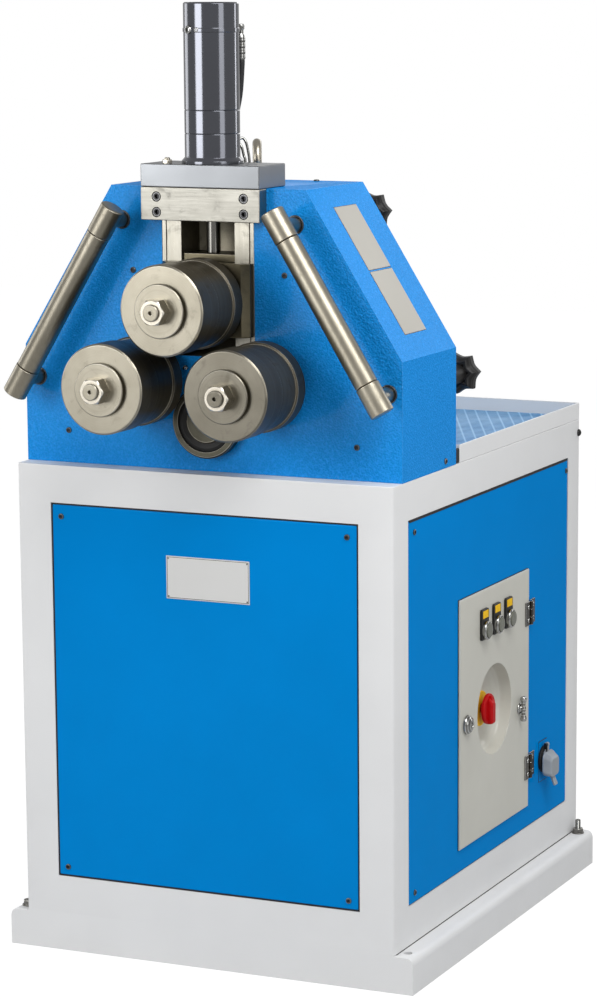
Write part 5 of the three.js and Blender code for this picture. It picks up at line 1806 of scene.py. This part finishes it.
@dataclass
class Guide:
    """One inclined guide: end caps and posts, the free roller, and the two star knobs."""

    side: str
    sign: float
    # How bright this guide's steel is; the left guide's lower tone is painted shade.
    tone: float
    y: float = -413.0
    top: Pair = (130.4, 1167.6)
    bottom: Pair = (306.3, 879.5)
    cap: float = 48.0
    cap_radius: float = 18.4
    roller_radius: float = 17.7
    post_inset: float = 26.0
    post_end: float = -84.0
    knob_front: float = -97.7
    knob_radius: float = 33.0
    head_front: float = -361.0

    def run(self) -> tuple[Array, Array, float]:
        """Top end, unit direction down the bar, and length.

        Returns:
            The two as arrays, and the length in millimetres.
        """
        start = np.array([self.sign * self.top[0], self.y, self.top[1]])
        end = np.array([self.sign * self.bottom[0], self.y, self.bottom[1]])
        length = float(np.linalg.norm(end - start))
        return start, (end - start) / length, length

    def finish(self) -> Steel:
        """Satin steel with streaks that run along the bar, scaled by the guide's tone, which paints shade on
        the darker guide.

        Returns:
            The finish.
        """
        _, down, _ = self.run()
        tilt = math.atan2(down[0], -down[2])
        return Steel(self.side + "_guide_steel", "guide_steel", scaled((0.45, 0.415, 0.335), self.tone),
                     scaled((0.31, 0.28, 0.22), self.tone), Lay.GROUND, roughness=0.36,
                     stretch=(1.0, 1.0, 0.03), turn=(0.0, tilt, 0.0), worn_edge=(0.6, 0.55, 0.46),
                     pitch=300.0)

    def posts(self) -> list[Vec]:
        """Where the two posts meet the bar."""
        start, down, length = self.run()
        return [tuple(start + down * at) for at in (self.post_inset, length - self.post_inset)]

    def make(self) -> None:
        """Makes the guide's pieces."""
        start, down, length = self.run()
        steel = self.finish()
        caps = []
        for low, high in ((0.0, self.cap), (length - self.cap, length)):
            profile = [[16.2, low], [self.cap_radius, low + 1.4], [self.cap_radius, high - 1.2], [16.4, high]]
            caps.append(lathed(profile, tuple(start), down, 0.5, MIDDLE_ROUND))
        axle = lathed([[7, self.cap - 2], [7, length - self.cap + 2]], tuple(start), down, 0.2, SMALL_ROUND)
        posts = [lathed([[11, self.y], [11, self.post_end - 1], [10, self.post_end]], (x, 0, z), Axis.Y, 0.3,
                        LESSER_ROUND) for x, _, z in self.posts()]
        Piece(self.side + "_guide_caps", joined(*caps, axle, *posts), steel, [self.side + "_guide_frame"],
              body=self.side + "_guide").make()
        low, high = self.cap + 0.3, length - self.cap - 0.3
        roller = lathed([[7.5, low], [self.roller_radius - 1, low], [self.roller_radius, low + 1],
                         [self.roller_radius, high - 1], [self.roller_radius - 1, high], [7.5, high]],
                        tuple(start), down, 0.3, MIDDLE_ROUND, looped=True)
        Piece(self.side + "_guide_sleeve", roller, steel, [self.side + "_guide_roller"], body=self.side
              + "_guide_bar").make()
        # Near-black bushes round the posts at the head's face; their dark ring also paints the shade of the
        # post holes.
        bushes_with_hole_shade = [lathed([[11.3, self.head_front + 0.4], [14.2, self.head_front + 0.4],
                          [14.2, self.head_front - 1.4], [13.2, self.head_front - 2.2],
                          [11.3, self.head_front - 2.2]], (x, 0, z), Axis.Y, 0.3, LESSER_ROUND, looped=True)
                  for x, _, z in self.posts()]
        Piece(self.side + "_post_bushes_with_shade", joined(*bushes_with_hole_shade), Finishes.BLACKENED).make()
        for place, (x, _, z) in zip(("upper", "lower"), self.posts()):
            node = f"{self.side}_{place}_knob"
            Piece(node + "_star", self.knob(x, z), Finishes.BLACK, [node], body=node).make()

    def knob(self, x: float, z: float) -> Shell:
        """A bored star knob: its radius dips between seven points, and its front is dished.

        Args:
            x: the knob's middle, across.
            z: the knob's middle, upwards.

        Returns:
            The surface.
        """
        angle = np.linspace(0, 2 * np.pi, 140, endpoint=False)
        share = ((angle - 0.35) * 7 / (2 * np.pi)) % 1
        star = self.knob_radius - 7.0 * np.sin(np.pi * share) ** 0.8
        profile, mark = eased([[18, 3.0], [12, 0.4], [7.0, 1.2], [1.4, 7.6], [0.0, 10.5], [0.0, 22.5],
                               [3.5, 25.0], [12.0, 24.4], [18.0, 22.0]], 2.4)
        radii = np.concatenate([np.maximum(star[None] - profile[:, :1], 12.5),
                                np.full((2, len(angle)), 11.5)])
        places = self.knob_front + np.concatenate([profile[:, 1], [22.0, 3.0]])
        wheel = stacked(places, radii, (x, 0, z), Axis.Y, np.concatenate([mark, [0, 0]]), looped=True)
        hub = lathed([[11.5, -153.7], [14, -153.7], [15, -152.4], [15, self.knob_front + 4],
                      [11.5, self.knob_front + 4]], (x, 0, z), Axis.Y, 0.5, LESSER_ROUND, looped=True)
        return joined(wheel, hub)


@dataclass
class ControlBox:
    """The control box with its door, hinges, main switch, buttons, lock and tee handle."""

    back: float = 315.3
    face: float = 318.3
    low: Pair = (-144.0, 157.5)
    high: Pair = (153.0, 555.5)
    cup: Pair = (1.0, 354.5)
    cup_radius: float = 71.5
    cup_floor_radius: float = 58.0
    cup_floor: float = 290.3
    buttons: tuple[float, ...] = (-47.9, 3.6, 55.1)
    button_z: float = 492.0
    lock: Pair = (-118.5, 354.5)
    tee: Pair = (109.0, 331.5)
    pin: Pair = (320.3, 157.0)
    hinge_spans: tuple[Pair, ...] = ((204.5, 245.0), (462.0, 502.0))
    plate_depth: float = 4.0
    plate_span: Pair = (-15.5, 34.0)
    insert_span: Pair = (19.5, 31.5)
    disc_back: float = 304.2
    grip_top: float = 317.9
    grip_half: float = 8.4
    stem_back: float = 276.6
    plate_half: float = 15.0
    insert_half: float = 11.0
    panel_face: float = 314.45
    hinge_margin: float = 9.0
    hinge_screw: Pair = (3.6, 2.0)

    def border(self, inset: float, x: float, angle: Array) -> Array:
        """Points of the door's outline, met by rays from the cup's centre at the given angles.

        Args:
            inset: how far the outline is drawn in.
            x: place of the points along x.
            angle: the rays' angles.

        Returns:
            The points.
        """
        cos, sin = np.cos(angle), np.sin(angle)
        reach_y = np.where(cos > 0, self.high[0] - inset - self.cup[0], self.low[0] + inset - self.cup[0])
        reach_z = np.where(sin > 0, self.high[1] - inset - self.cup[1], self.low[1] + inset - self.cup[1])
        far = np.full_like(angle, 1e9)
        along_y = np.divide(reach_y, cos, out=far.copy(), where=np.abs(cos) > 1e-9)
        along_z = np.divide(reach_z, sin, out=far.copy(), where=np.abs(sin) > 1e-9)
        reach = np.minimum(along_y, along_z)
        return np.stack([np.full_like(angle, x), self.cup[0] + reach * cos, self.cup[1] + reach * sin],
                        axis=-1)

    def circle(self, radius: float, x: float, angle: Array) -> Array:
        """Points of a circle about the cup's centre."""
        return np.stack([np.full_like(angle, x), self.cup[0] + radius * np.cos(angle),
                         self.cup[1] + radius * np.sin(angle)], axis=-1)

    def door_shell(self) -> Shell:
        """The door pressed round its cup.

        Rows run from the back of the cup's floor outwards to the door's edge, round it, and back
        over the front and down the cup. Each row is the outline or a circle at the same angles.

        Returns:
            The surface.
        """
        corners = [math.atan2(z - self.cup[1], y - self.cup[0]) for y in (self.low[0], self.high[0])
                   for z in (self.low[1], self.high[1])]
        angle = np.sort(np.concatenate([np.linspace(-np.pi, np.pi, 120, endpoint=False), corners]))
        face, back, floor = self.face, self.back, self.cup_floor
        outer, inner = self.cup_radius, self.cup_floor_radius
        bent, straight = self.circle, self.border
        section = [(bent, 12, floor - 2, 0), (bent, inner + 1, floor - 2, 0),
                   (bent, outer + 1.2, floor + 12, 0), (bent, outer + 2, back, 0), (straight, 3, back, 0),
                   (straight, 0.3, back, 0), (straight, 0, back + 0.4, 0.5), (straight, 0, face - 1.8, 0.5),
                   (straight, 0.5, face - 0.5, 1), (straight, 1.8, face, 0.4), (straight, 6, face, 0),
                   (bent, outer + 6, face, 0), (bent, outer + 2.2, face, 0.3),
                   (bent, outer + 1.5, face - 0.25, 0.8), (bent, outer + 1.1, face - 1.0, 0.3),
                   (bent, outer - 0.2, floor + 12, 0), (bent, outer - 3.2, floor + 6.4, 0),
                   (bent, inner + 3, floor + 1.6, 0), (bent, inner - 2, floor + 0.2, 0),
                   (bent, inner - 8, floor, 0), (bent, 12, floor, 0)]
        rows = [line(size, x, angle) for line, size, x, _ in section]
        edge = np.array([mark for *_, mark in section])
        return through_rows(np.stack(rows), edge, looped=True)

    def make(self) -> None:
        """Makes every piece of the control box."""
        softened("control_box", Finishes.DOOR, 0.6)
        Piece("box_door", self.door_shell(), Finishes.DOOR, ["control_door"], body=Body.DOOR).make()
        middle = ((self.low[0] + self.high[0]) / 2, (self.low[1] + self.high[1]) / 2)
        half = ((self.high[0] - self.low[0]) / 2, (self.high[1] - self.low[1]) / 2)
        # A black gasket behind the door, let out 0.9 mm beyond the door's edge: the black line round the door
        # is painted shadow.
        seal = placed(rim(half[0] + 0.9, half[1] + 0.9, 5.0, 314.5, 315.25), (0, *middle), Axis.Y, Axis.Z,
                      Axis.X)
        Piece("door_seal_and_shadow_line", seal, Finishes.GASKET).make()
        self.switch()
        for number, y in enumerate(self.buttons, 1):
            self.button(number, y)
        self.lock_and_tee()
        for number, (low, high) in enumerate(self.hinge_spans, 1):
            self.hinge(number, low, high)

    def switch(self) -> None:
        """Makes the yellow disc on the cup's floor, and the red handle.

        The handle's grip is rows along x. Each row is a rounded oblong in y and z: width times the
        signed power 0.3 of the cosine, and height times that of the sine. The last rows are drawn
        in and their upper end is cut back, which gives the notch over the grip.
        """
        y, z = self.cup
        floor, start, tip = self.cup_floor, self.disc_back, self.grip_top
        plate = lathed([[6, floor + 0.05], [27.5, floor + 0.05], [28.5, floor + 1.2], [28.5, floor + 4.6],
                        [27.5, floor + 5.6], [6, floor + 5.6]], (0, y, z - 1.5), Axis.X, 0.6)
        Piece("switch_plate", plate, Finishes.YELLOW, body=Body.DOOR).make()
        disc = lathed([[8, floor + 5.7], [8, start], [23.4, start], [24.6, start + 1.2], [24.6, start + 4.6],
                       [23.0, start + 6.2], [6, start + 6.8]], (0, y, z - 1.0), Axis.X, 0.9)
        rise = np.array([start + 2, start + 4, start + 7, tip - 4, tip - 1.6, tip])
        width = self.grip_half * np.array([1.0, 1.0, 0.98, 0.94, 0.86, 0.62])[:, None]
        lower = np.array([-25.5, -25.5, -25.5, -25.2, -24.4, -22.5])[:, None]
        upper = np.array([19.0, 19.0, 18.0, 13.5, 11.0, 8.5])[:, None]
        angle = np.linspace(0, 2 * np.pi, 2 * SMALL_ROUND, endpoint=False)
        side, height = (np.sign(wave) * np.abs(wave) ** 0.3 for wave in (np.cos(angle), np.sin(angle)))
        level = z + (upper + lower) / 2 + (upper - lower) / 2 * height
        rows = np.stack([np.broadcast_to(rise[:, None], level.shape), y + width * side, level], axis=-1)
        grip = through_rows(rows, np.array([0, 0, 0.1, 0.5, 1.0, 0.3]))
        ridge = rounded_block((start + 4, y - 3.0, z + 9), (tip - 3.4, y + 3.0, z + 20.5), 2.0)
        stem = lathed([[5.9, self.stem_back], [5.9, floor + 8]], (0, y, z), Axis.X, 0.3, SMALL_ROUND)
        Piece("switch_grip", joined(disc, grip, ridge, stem), Finishes.RED, ["main_switch_handle"],
              body=Body.SWITCH).make()

    def button(self, number: int, y: float) -> None:
        """Makes one push button with its bezel and its bare legend plate.

        Args:
            number: its number in the names of its pieces.
            y: place of its middle along the box.
        """
        z, face, front = self.button_z, self.face, self.face + self.plate_depth
        low, high = self.plate_span
        plate = placed(slab(self.plate_half, (high - low) / 2, self.plate_depth, 1.4, 4.0),
                       (face + 0.05, y, z + (low + high) / 2), Axis.Y, Axis.Z, Axis.X)
        Piece(f"legend_{number}", plate, Finishes.BLACK, body=Body.DOOR).make()
        (low, high), half = self.insert_span, self.insert_half
        insert = rounded_block((front - 0.2, y - half, z + low), (front + 0.4, y + half, z + high), 0.3)
        Piece(f"legend_insert_{number}", insert, Finishes.YELLOW, body=Body.DOOR).make()
        bezel = lathed([[12.5, 4.0], [14.6, 4.0], [15.0, 5.0], [15.0, 8.6], [13.8, 10.4], [12.5, 10.4]],
                       (face, y, z), Axis.X, 0.6, MIDDLE_ROUND, looped=True)
        Piece(f"bezel_{number}", bezel, Finishes.CHROME, body=Body.DOOR).make()
        cap = lathed([[9, 298.8], [9, 323.5], [11.6, 324.5], [12, 329.2], [11.3, 330.3], [6, 330.75]],
                     (0, y, z), Axis.X, 0.6, MIDDLE_ROUND)
        Piece(f"button_lens_{number}", cap, Finishes.LENS, [f"push_button_{number}"],
              body=f"button_{number}").make()

    def lock_and_tee(self) -> None:
        """Makes the domed lock and the tee handle."""
        y, z = self.lock
        dome = lathed([[8, 306.7], [8, 318.6], [14.8, 318.6], [15.6, 319.3], [15.0, 322.4], [12.4, 326.0],
                       [8.0, 328.4], [5.0, 328.9], [4.4, 327.2]], (0, y, z), Axis.X, 1.0, MIDDLE_ROUND)
        bit = rounded_block((325.6, y - 3.4, z - 1.1), (327.8, y + 3.4, z + 1.1), 0.4)
        Piece("lock_dome", joined(dome, bit), Finishes.CHROME, ["door_lock"], body=Body.LOCK).make()
        y, z = self.tee
        stem = lathed([[5, 306.4], [5, 318.4], [9.0, 318.5], [9.6, 319.4], [8.6, 321.2], [5.6, 322.4],
                       [4.6, 326]], (0, y, z), Axis.X, 0.8, LESSER_ROUND)
        grip = lathed([[1.5, z - 21], [4.4, z - 20.2], [5.6, z - 17.4], [5.2, z - 14.4], [3.4, z - 10.5],
                       [3.3, z - 5], [4.6, z], [3.3, z + 5], [3.4, z + 10.5], [5.2, z + 14.4],
                       [5.6, z + 17.4], [4.4, z + 20.2], [1.5, z + 21]], (326.0, y, 0), Axis.Z, 1.4,
                      LESSER_ROUND)
        Piece("tee_grip", joined(stem, grip), Finishes.CHROME, ["tee_handle"], body=Body.TEE).make()

    def hinge(self, number: int, low: float, high: float) -> None:
        """Makes one hinge: two screwed leaves, on the door and on the panel, and its knuckles.

        Args:
            number: its number in the names of its pieces.
            low: height of its lower end.
            high: height of its upper end.
        """
        x, y = self.pin
        third, heights = (high - low) / 3, (low + self.hinge_margin, high - self.hinge_margin)

        def knuckle(start: float, end: float) -> Shell:
            """A piece of the hinge's barrel."""
            profile = [[1.6, start], [2.8, start + 0.3], [2.8, end - 0.3], [1.6, end]]
            return lathed(profile, (x, y, 0), Axis.Z, 0.3, SMALL_ROUND)

        def heads(face: float, side: float) -> Shell:
            """A leaf's two screws."""
            return joined(*[socket_screw(*self.hinge_screw, (face, y + side, z), (1, 0, 0)) for z in heights])

        face, name = self.face, f"hinge_{number}"
        door_leaf = rounded_block((face + 0.05, y - 23, low), (face + 1.9, y - 2.2, high), 0.6)
        door_leaf = joined(door_leaf, knuckle(low + third + 0.2, high - third - 0.2))
        Piece(name + "_door_leaf", door_leaf, Finishes.HINGE, body=Body.DOOR).make()
        Piece(name + "_door_screws", heads(face + 1.85, -13), Finishes.CHROME, body=Body.DOOR).make()
        back = self.panel_face
        panel_leaf = rounded_block((back, y + 3.5, low), (316.5, y + 27, high), 0.6)
        step = rounded_block((back, y + 2.0, low), (x + 1.4, y + 5.5, high), 0.7)
        knuckles = knuckle(low, low + third), knuckle(high - third, high)
        Piece(name + "_panel_leaf", joined(panel_leaf, step, *knuckles), Finishes.HINGE).make()
        Piece(name + "_panel_screws", heads(316.45, 17), Finishes.CHROME).make()


@dataclass
class PedalSocket:
    """The foot pedal's socket on the right panel, with its sprung flap."""

    y: float = 228.0
    z: float = 220.0
    back: float = 314.6
    plate: tuple[float, float, float] = (18.0, 33.5, 217.5)
    plate_bore: float = 17.0
    pin: Pair = (322.5, 245.2)

    def make(self) -> None:
        """Makes the socket, its plate and the flap."""
        centre = (0, self.y, self.z)
        Piece("socket_plate_edge", self.plate_shell(0.6, 0.35), Finishes.GASKET).make()
        Piece("socket_plate", self.plate_shell(0.0, 0.7), Finishes.BLUE).make()
        flange = lathed([[13, 284.7], [19, 284.7], [19, self.back], [22.6, self.back + 0.4],
                         [22.6, self.back + 4.0], [21.4, self.back + 5.0], [18.0, self.back + 5.0],
                         [18.0, 320.4], [16.4, 321.4], [14, 321.4], [14, 299.7], [3, 299.7], [3, 284.7]],
                        centre, Axis.X, 0.5, MIDDLE_ROUND, looped=True)
        Piece("socket_shell", flange, Finishes.BLACK, ["pedal_socket"]).make()
        ring = lathed([[15.0, 321.3], [18.2, 321.3], [18.2, 322.4], [15.0, 322.4]], centre, Axis.X, 0.3,
                      MIDDLE_ROUND, looped=True)
        lugs = [rounded_block((self.back + 4, self.y + s * 4.2 - 0.9, self.z + 15),
                              (self.pin[0] + 2.2, self.y + s * 4.2 + 0.9, self.pin[1] + 2.6), 0.8)
                for s in (-1, 1)]
        Piece("socket_lugs", joined(*lugs), Finishes.BLACK).make()
        Piece("socket_ring", ring, Finishes.SOCKET).make()
        pin = lathed([[1.2, -5.4], [1.7, -5.0], [1.7, 5.0], [1.2, 5.4]], (self.pin[0], self.y, self.pin[1]),
                     Axis.Y, 0.3, SMALL_ROUND)
        Piece("flap_pin", pin, Finishes.BLACKENED).make()
        self.flap()

    def plate_shell(self, grow: float, depth: float) -> Shell:
        """The bored plate behind the socket.

        Rays from the socket's centre meet the bore at its radius, and the plate's outline at the
        nearer of its upright and level sides. Four rows of those points make the plate.

        Args:
            grow: how far its outline stands out beyond the plate's own.
            depth: its thickness.

        Returns:
            The surface.
        """
        wide, tall, middle = self.plate
        wide, tall = wide + grow, tall + 2.2 * grow
        low, high = middle - tall - self.z, middle + tall - self.z
        corners = [math.atan2(rise, side) for side in (wide, -wide) for rise in (low, high)]
        around = np.linspace(-np.pi, np.pi, 2 * SMALL_ROUND, endpoint=False)
        angle = np.sort(np.concatenate([around, corners]))
        cos, sin = np.cos(angle), np.sin(angle)
        level, upright = np.maximum(np.abs(cos), 1e-6), np.maximum(np.abs(sin), 1e-6)
        reach = np.minimum(wide / level, np.where(sin > 0, high, -low) / upright)
        back, bore = self.back - 0.15, np.full_like(angle, self.plate_bore)
        rows = [np.stack([np.full_like(angle, x), self.y + radius * cos, self.z + radius * sin], axis=-1)
                for radius, x in ((bore, back), (reach, back), (reach, back + depth), (bore, back + depth))]
        return through_rows(np.stack(rows), looped=True)

    def flap(self) -> None:
        """Makes the sprung flap: shrinking rounded oblongs, an eye at the pin, and a tab.

        A row at x has its own half sizes in y and z, its own corner radius and its own middle.
        """
        x = np.array([322.9, 322.9, 324.0, 327.0, 334.0, 336.8, 337.8, 338.0])
        wide = np.array([21.0, 22.6, 23.2, 22.6, 18.4, 17.2, 16.2, 14.8])
        low = np.array([197.5, 196.0, 195.2, 194.4, 193.2, 193.4, 194.6, 196.4])
        high = np.array([232.0, 233.5, 234.2, 233.0, 227.5, 225.2, 223.8, 222.0])
        corner = np.array([9.0, 10.0, 10.4, 10.0, 8.0, 7.0, 6.0, 4.4])
        rows = rectangles(wide, (high - low) / 2, corner, np.zeros(8), x)
        rows[:, :, 1] += ((high + low) / 2)[:, None]
        shield = placed(through_rows(rows, np.array([0, 0, 0.4, 0, 0, 0.8, 0.8, 0])), (0, self.y, 0), Axis.Y,
                        Axis.Z, Axis.X)
        eye = lathed([[2.4, -2.6], [3.7, -2.6], [3.7, 2.6], [2.4, 2.6]], (self.pin[0], self.y, self.pin[1]),
                     Axis.Y, 0.5, SMALL_ROUND, looped=True)
        neck = rounded_block((323.6, self.y - 2.6, 229.0), (325.6, self.y + 2.6, 243.0), 0.8)
        down = np.array([9.0, 0.0, -21.0]) / math.hypot(9.0, 21.0)
        tab = placed(rounded_block((-6, 0, -2.4), (6, 24.0, 2.4), 1.8), (328.4, self.y + 2.0, 199.0), Axis.Y,
                     tuple(down), tuple(np.cross([0, 1.0, 0], down)))
        Piece("flap_shield", joined(shield, eye, neck, tab), Finishes.SOCKET, ["socket_flap"],
              body=Body.FLAP).make()


class Inside:
    """Nodes inside the cabinet and the head, which keep their CAD shape."""

    finishes = {
        "left_roll_gear": Finishes.OILED,
        "right_roll_gear": Finishes.OILED,
        "motor_gear": Finishes.OILED,
        "drive_shaft": Finishes.OILED,
        "gear_motor": Finishes.CASTING,
        "hydraulic_unit": Finishes.CASTING,
    }

    def make(self) -> None:
        """Puts the finishes into the nodes' material slots."""
        for node, finish in self.finishes.items():
            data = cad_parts[node].data
            data.materials.clear()
            data.materials.append(finish.material())
            log.info("%s: CAD shape, %s", node, finish.name)


@dataclass
class Studio:
    """Floor, world, lamps and camera."""

    eye: Vec = (2.1355, -4.5871, 1.5024)
    yaw: float = 0.4015
    pitch: float = 0.1747
    roll: float = -0.0010
    focal_pixels: float = 3170.11
    sensor: float = 36.0
    clip_end: float = 60.0
    floor_half: float = 9.0
    sky: float = 0.4
    sky_mirrored: float = 0.08
    image: tuple[int, int] = (597, 1000)
    principal: Pair = (419.04, 537.59)
    lamps: tuple[tuple[str, Vec, Vec, float, float, float], ...] = (
        ("front_window", (-1.5, -3.2, 1.35), (0.0, -0.3, 0.9), 1.5, 2.0, 20.0),
        ("left_window", (-3.4, 0.2, 1.5), (0.0, -0.3, 0.9), 1.4, 2.0, 20.0),
        ("right_window", (3.0, -1.5, 1.6), (0.0, -0.3, 0.9), 1.2, 2.0, 16.5),
        ("key", (-1.0, -2.2, 1.55), (0.0, -0.3, 0.8), 1.2, 1.0, 15.0),
        ("top", (1.45, -1.15, 2.9), (0.0, -0.1, 0.8), 1.5, 1.5, 52.0),
        ("rear_window", (0.0, 3.4, 2.1), (0.0, -0.3, 1.0), 3.6, 1.0, 16.0),
        ("right_edge", (2.3, 2.9, 1.7), (0.0, -0.3, 1.2), 0.5, 1.4, 10.0),
    )

    def camera(self) -> None:
        """Sets the camera at the photograph's viewing angle."""
        data = bpy.data.cameras.new("view")
        data.sensor_width = self.sensor
        long_side = max(self.image)
        data.lens = self.focal_pixels / long_side * data.sensor_width
        data.shift_x = (self.image[0] / 2 - self.principal[0]) / long_side
        data.shift_y = (self.principal[1] - self.image[1] / 2) / long_side
        data.clip_end = self.clip_end
        made = bpy.data.objects.new("view", data)
        turn = (Matrix.Rotation(self.yaw, 4, "Z") @ Matrix.Rotation(math.pi / 2 - self.pitch, 4, "X")
                @ Matrix.Rotation(self.roll, 4, "Z"))
        made.matrix_world = Matrix.Translation(self.eye) @ turn
        bpy.context.scene.collection.objects.link(made)
        bpy.context.scene.camera = made

    def floor(self) -> None:
        """Lays the floor as a wide flat sheet."""
        half = self.floor_half
        mesh = bpy.data.meshes.new("floor")
        mesh.from_pydata([(-half, -half, 0), (half, -half, 0), (half, half, 0), (-half, half, 0)], [],
                         [(0, 1, 2, 3)])
        made = bpy.data.objects.new("floor", mesh)
        mesh.materials.append(PaleFloor().material())
        bpy.context.scene.collection.objects.link(made)

    def world(self) -> None:
        """A plain even sky: white to the camera, dimmer as light, and a little brighter mirrored."""
        world = bpy.data.worlds.new("studio")
        world.use_nodes = True
        tree = Tree(world.node_tree)
        dim, white = (tree.node("Background", {"Color": rgba(WHITE), "Strength": strength})
                      for strength in (self.sky, 1.0))
        path = tree.node("LightPath")
        mirrored = tree.maths("MAXIMUM", path.outputs["Is Glossy Ray"], path.outputs["Is Transmission Ray"])
        share = tree.maths("ADD", path.outputs["Is Camera Ray"],
                           tree.maths("MULTIPLY", mirrored, self.sky_mirrored))
        both = tree.node("MixShader", {"0": share, "1": dim.outputs[0], "2": white.outputs[0]})
        tree.node("OutputWorld", {"Surface": both.outputs[0]})
        bpy.context.scene.world = world

    def lights(self) -> None:
        """Hangs the soft lamps."""
        for name, place, aim, width, height, watts in self.lamps:
            data = bpy.data.lights.new(name, "AREA")
            data.shape = "RECTANGLE"
            data.size = width
            data.size_y = height
            data.energy = watts
            made = bpy.data.objects.new(name, data)
            made.matrix_world = facing(place, aim)
            made.visible_camera = False
            bpy.context.scene.collection.objects.link(made)

    def make(self) -> None:
        """Sets up the whole studio."""
        self.camera()
        self.floor()
        self.world()
        self.lights()
        bpy.context.scene.view_settings.view_transform = "Standard"


def facing(place: Vec, aim: Vec) -> Matrix:
    """The matrix of a lamp at a place that shines towards an aim.

    Args:
        place: where the lamp is.
        aim: what it shines at.

    Returns:
        The matrix.
    """
    away = np.array(place) - np.array(aim)
    away /= np.linalg.norm(away)
    side = np.cross([0, 0, 1.0], away) if abs(away[2]) < 0.99 else np.array([1.0, 0, 0])
    side /= np.linalg.norm(side)
    up = np.cross(away, side)
    rows = [[side[i], up[i], away[i], place[i]] for i in range(3)]
    return Matrix([*rows, [0, 0, 0, 1]])


def main() -> None:
    """Builds the machine group by group."""
    logging.basicConfig(level=logging.INFO, format="%(message)s")
    Studio().make()
    Plinth().make()
    Cabinet().make()
    Head().make()
    Press().make()
    # The three rolls share one steel; the right roll's lower tone is painted shade.
    Roll("top_roll", 0.0, 1027.1, -300.3, tone=0.77).make()
    Roll("left_roll", -101.5, 907.4, -160.0, tone=0.78).make()
    Roll("right_roll", 101.5, 907.4, -160.0, tone=0.45).make()
    # Both guides share one steel; the left guide's lower tone is painted shade.
    Guide("left", -1.0, 0.7).make()
    Guide("right", 1.0, 1.0).make()
    ControlBox().make()
    PedalSocket().make()
    Inside().make()


if __name__ == "__main__":
    main()
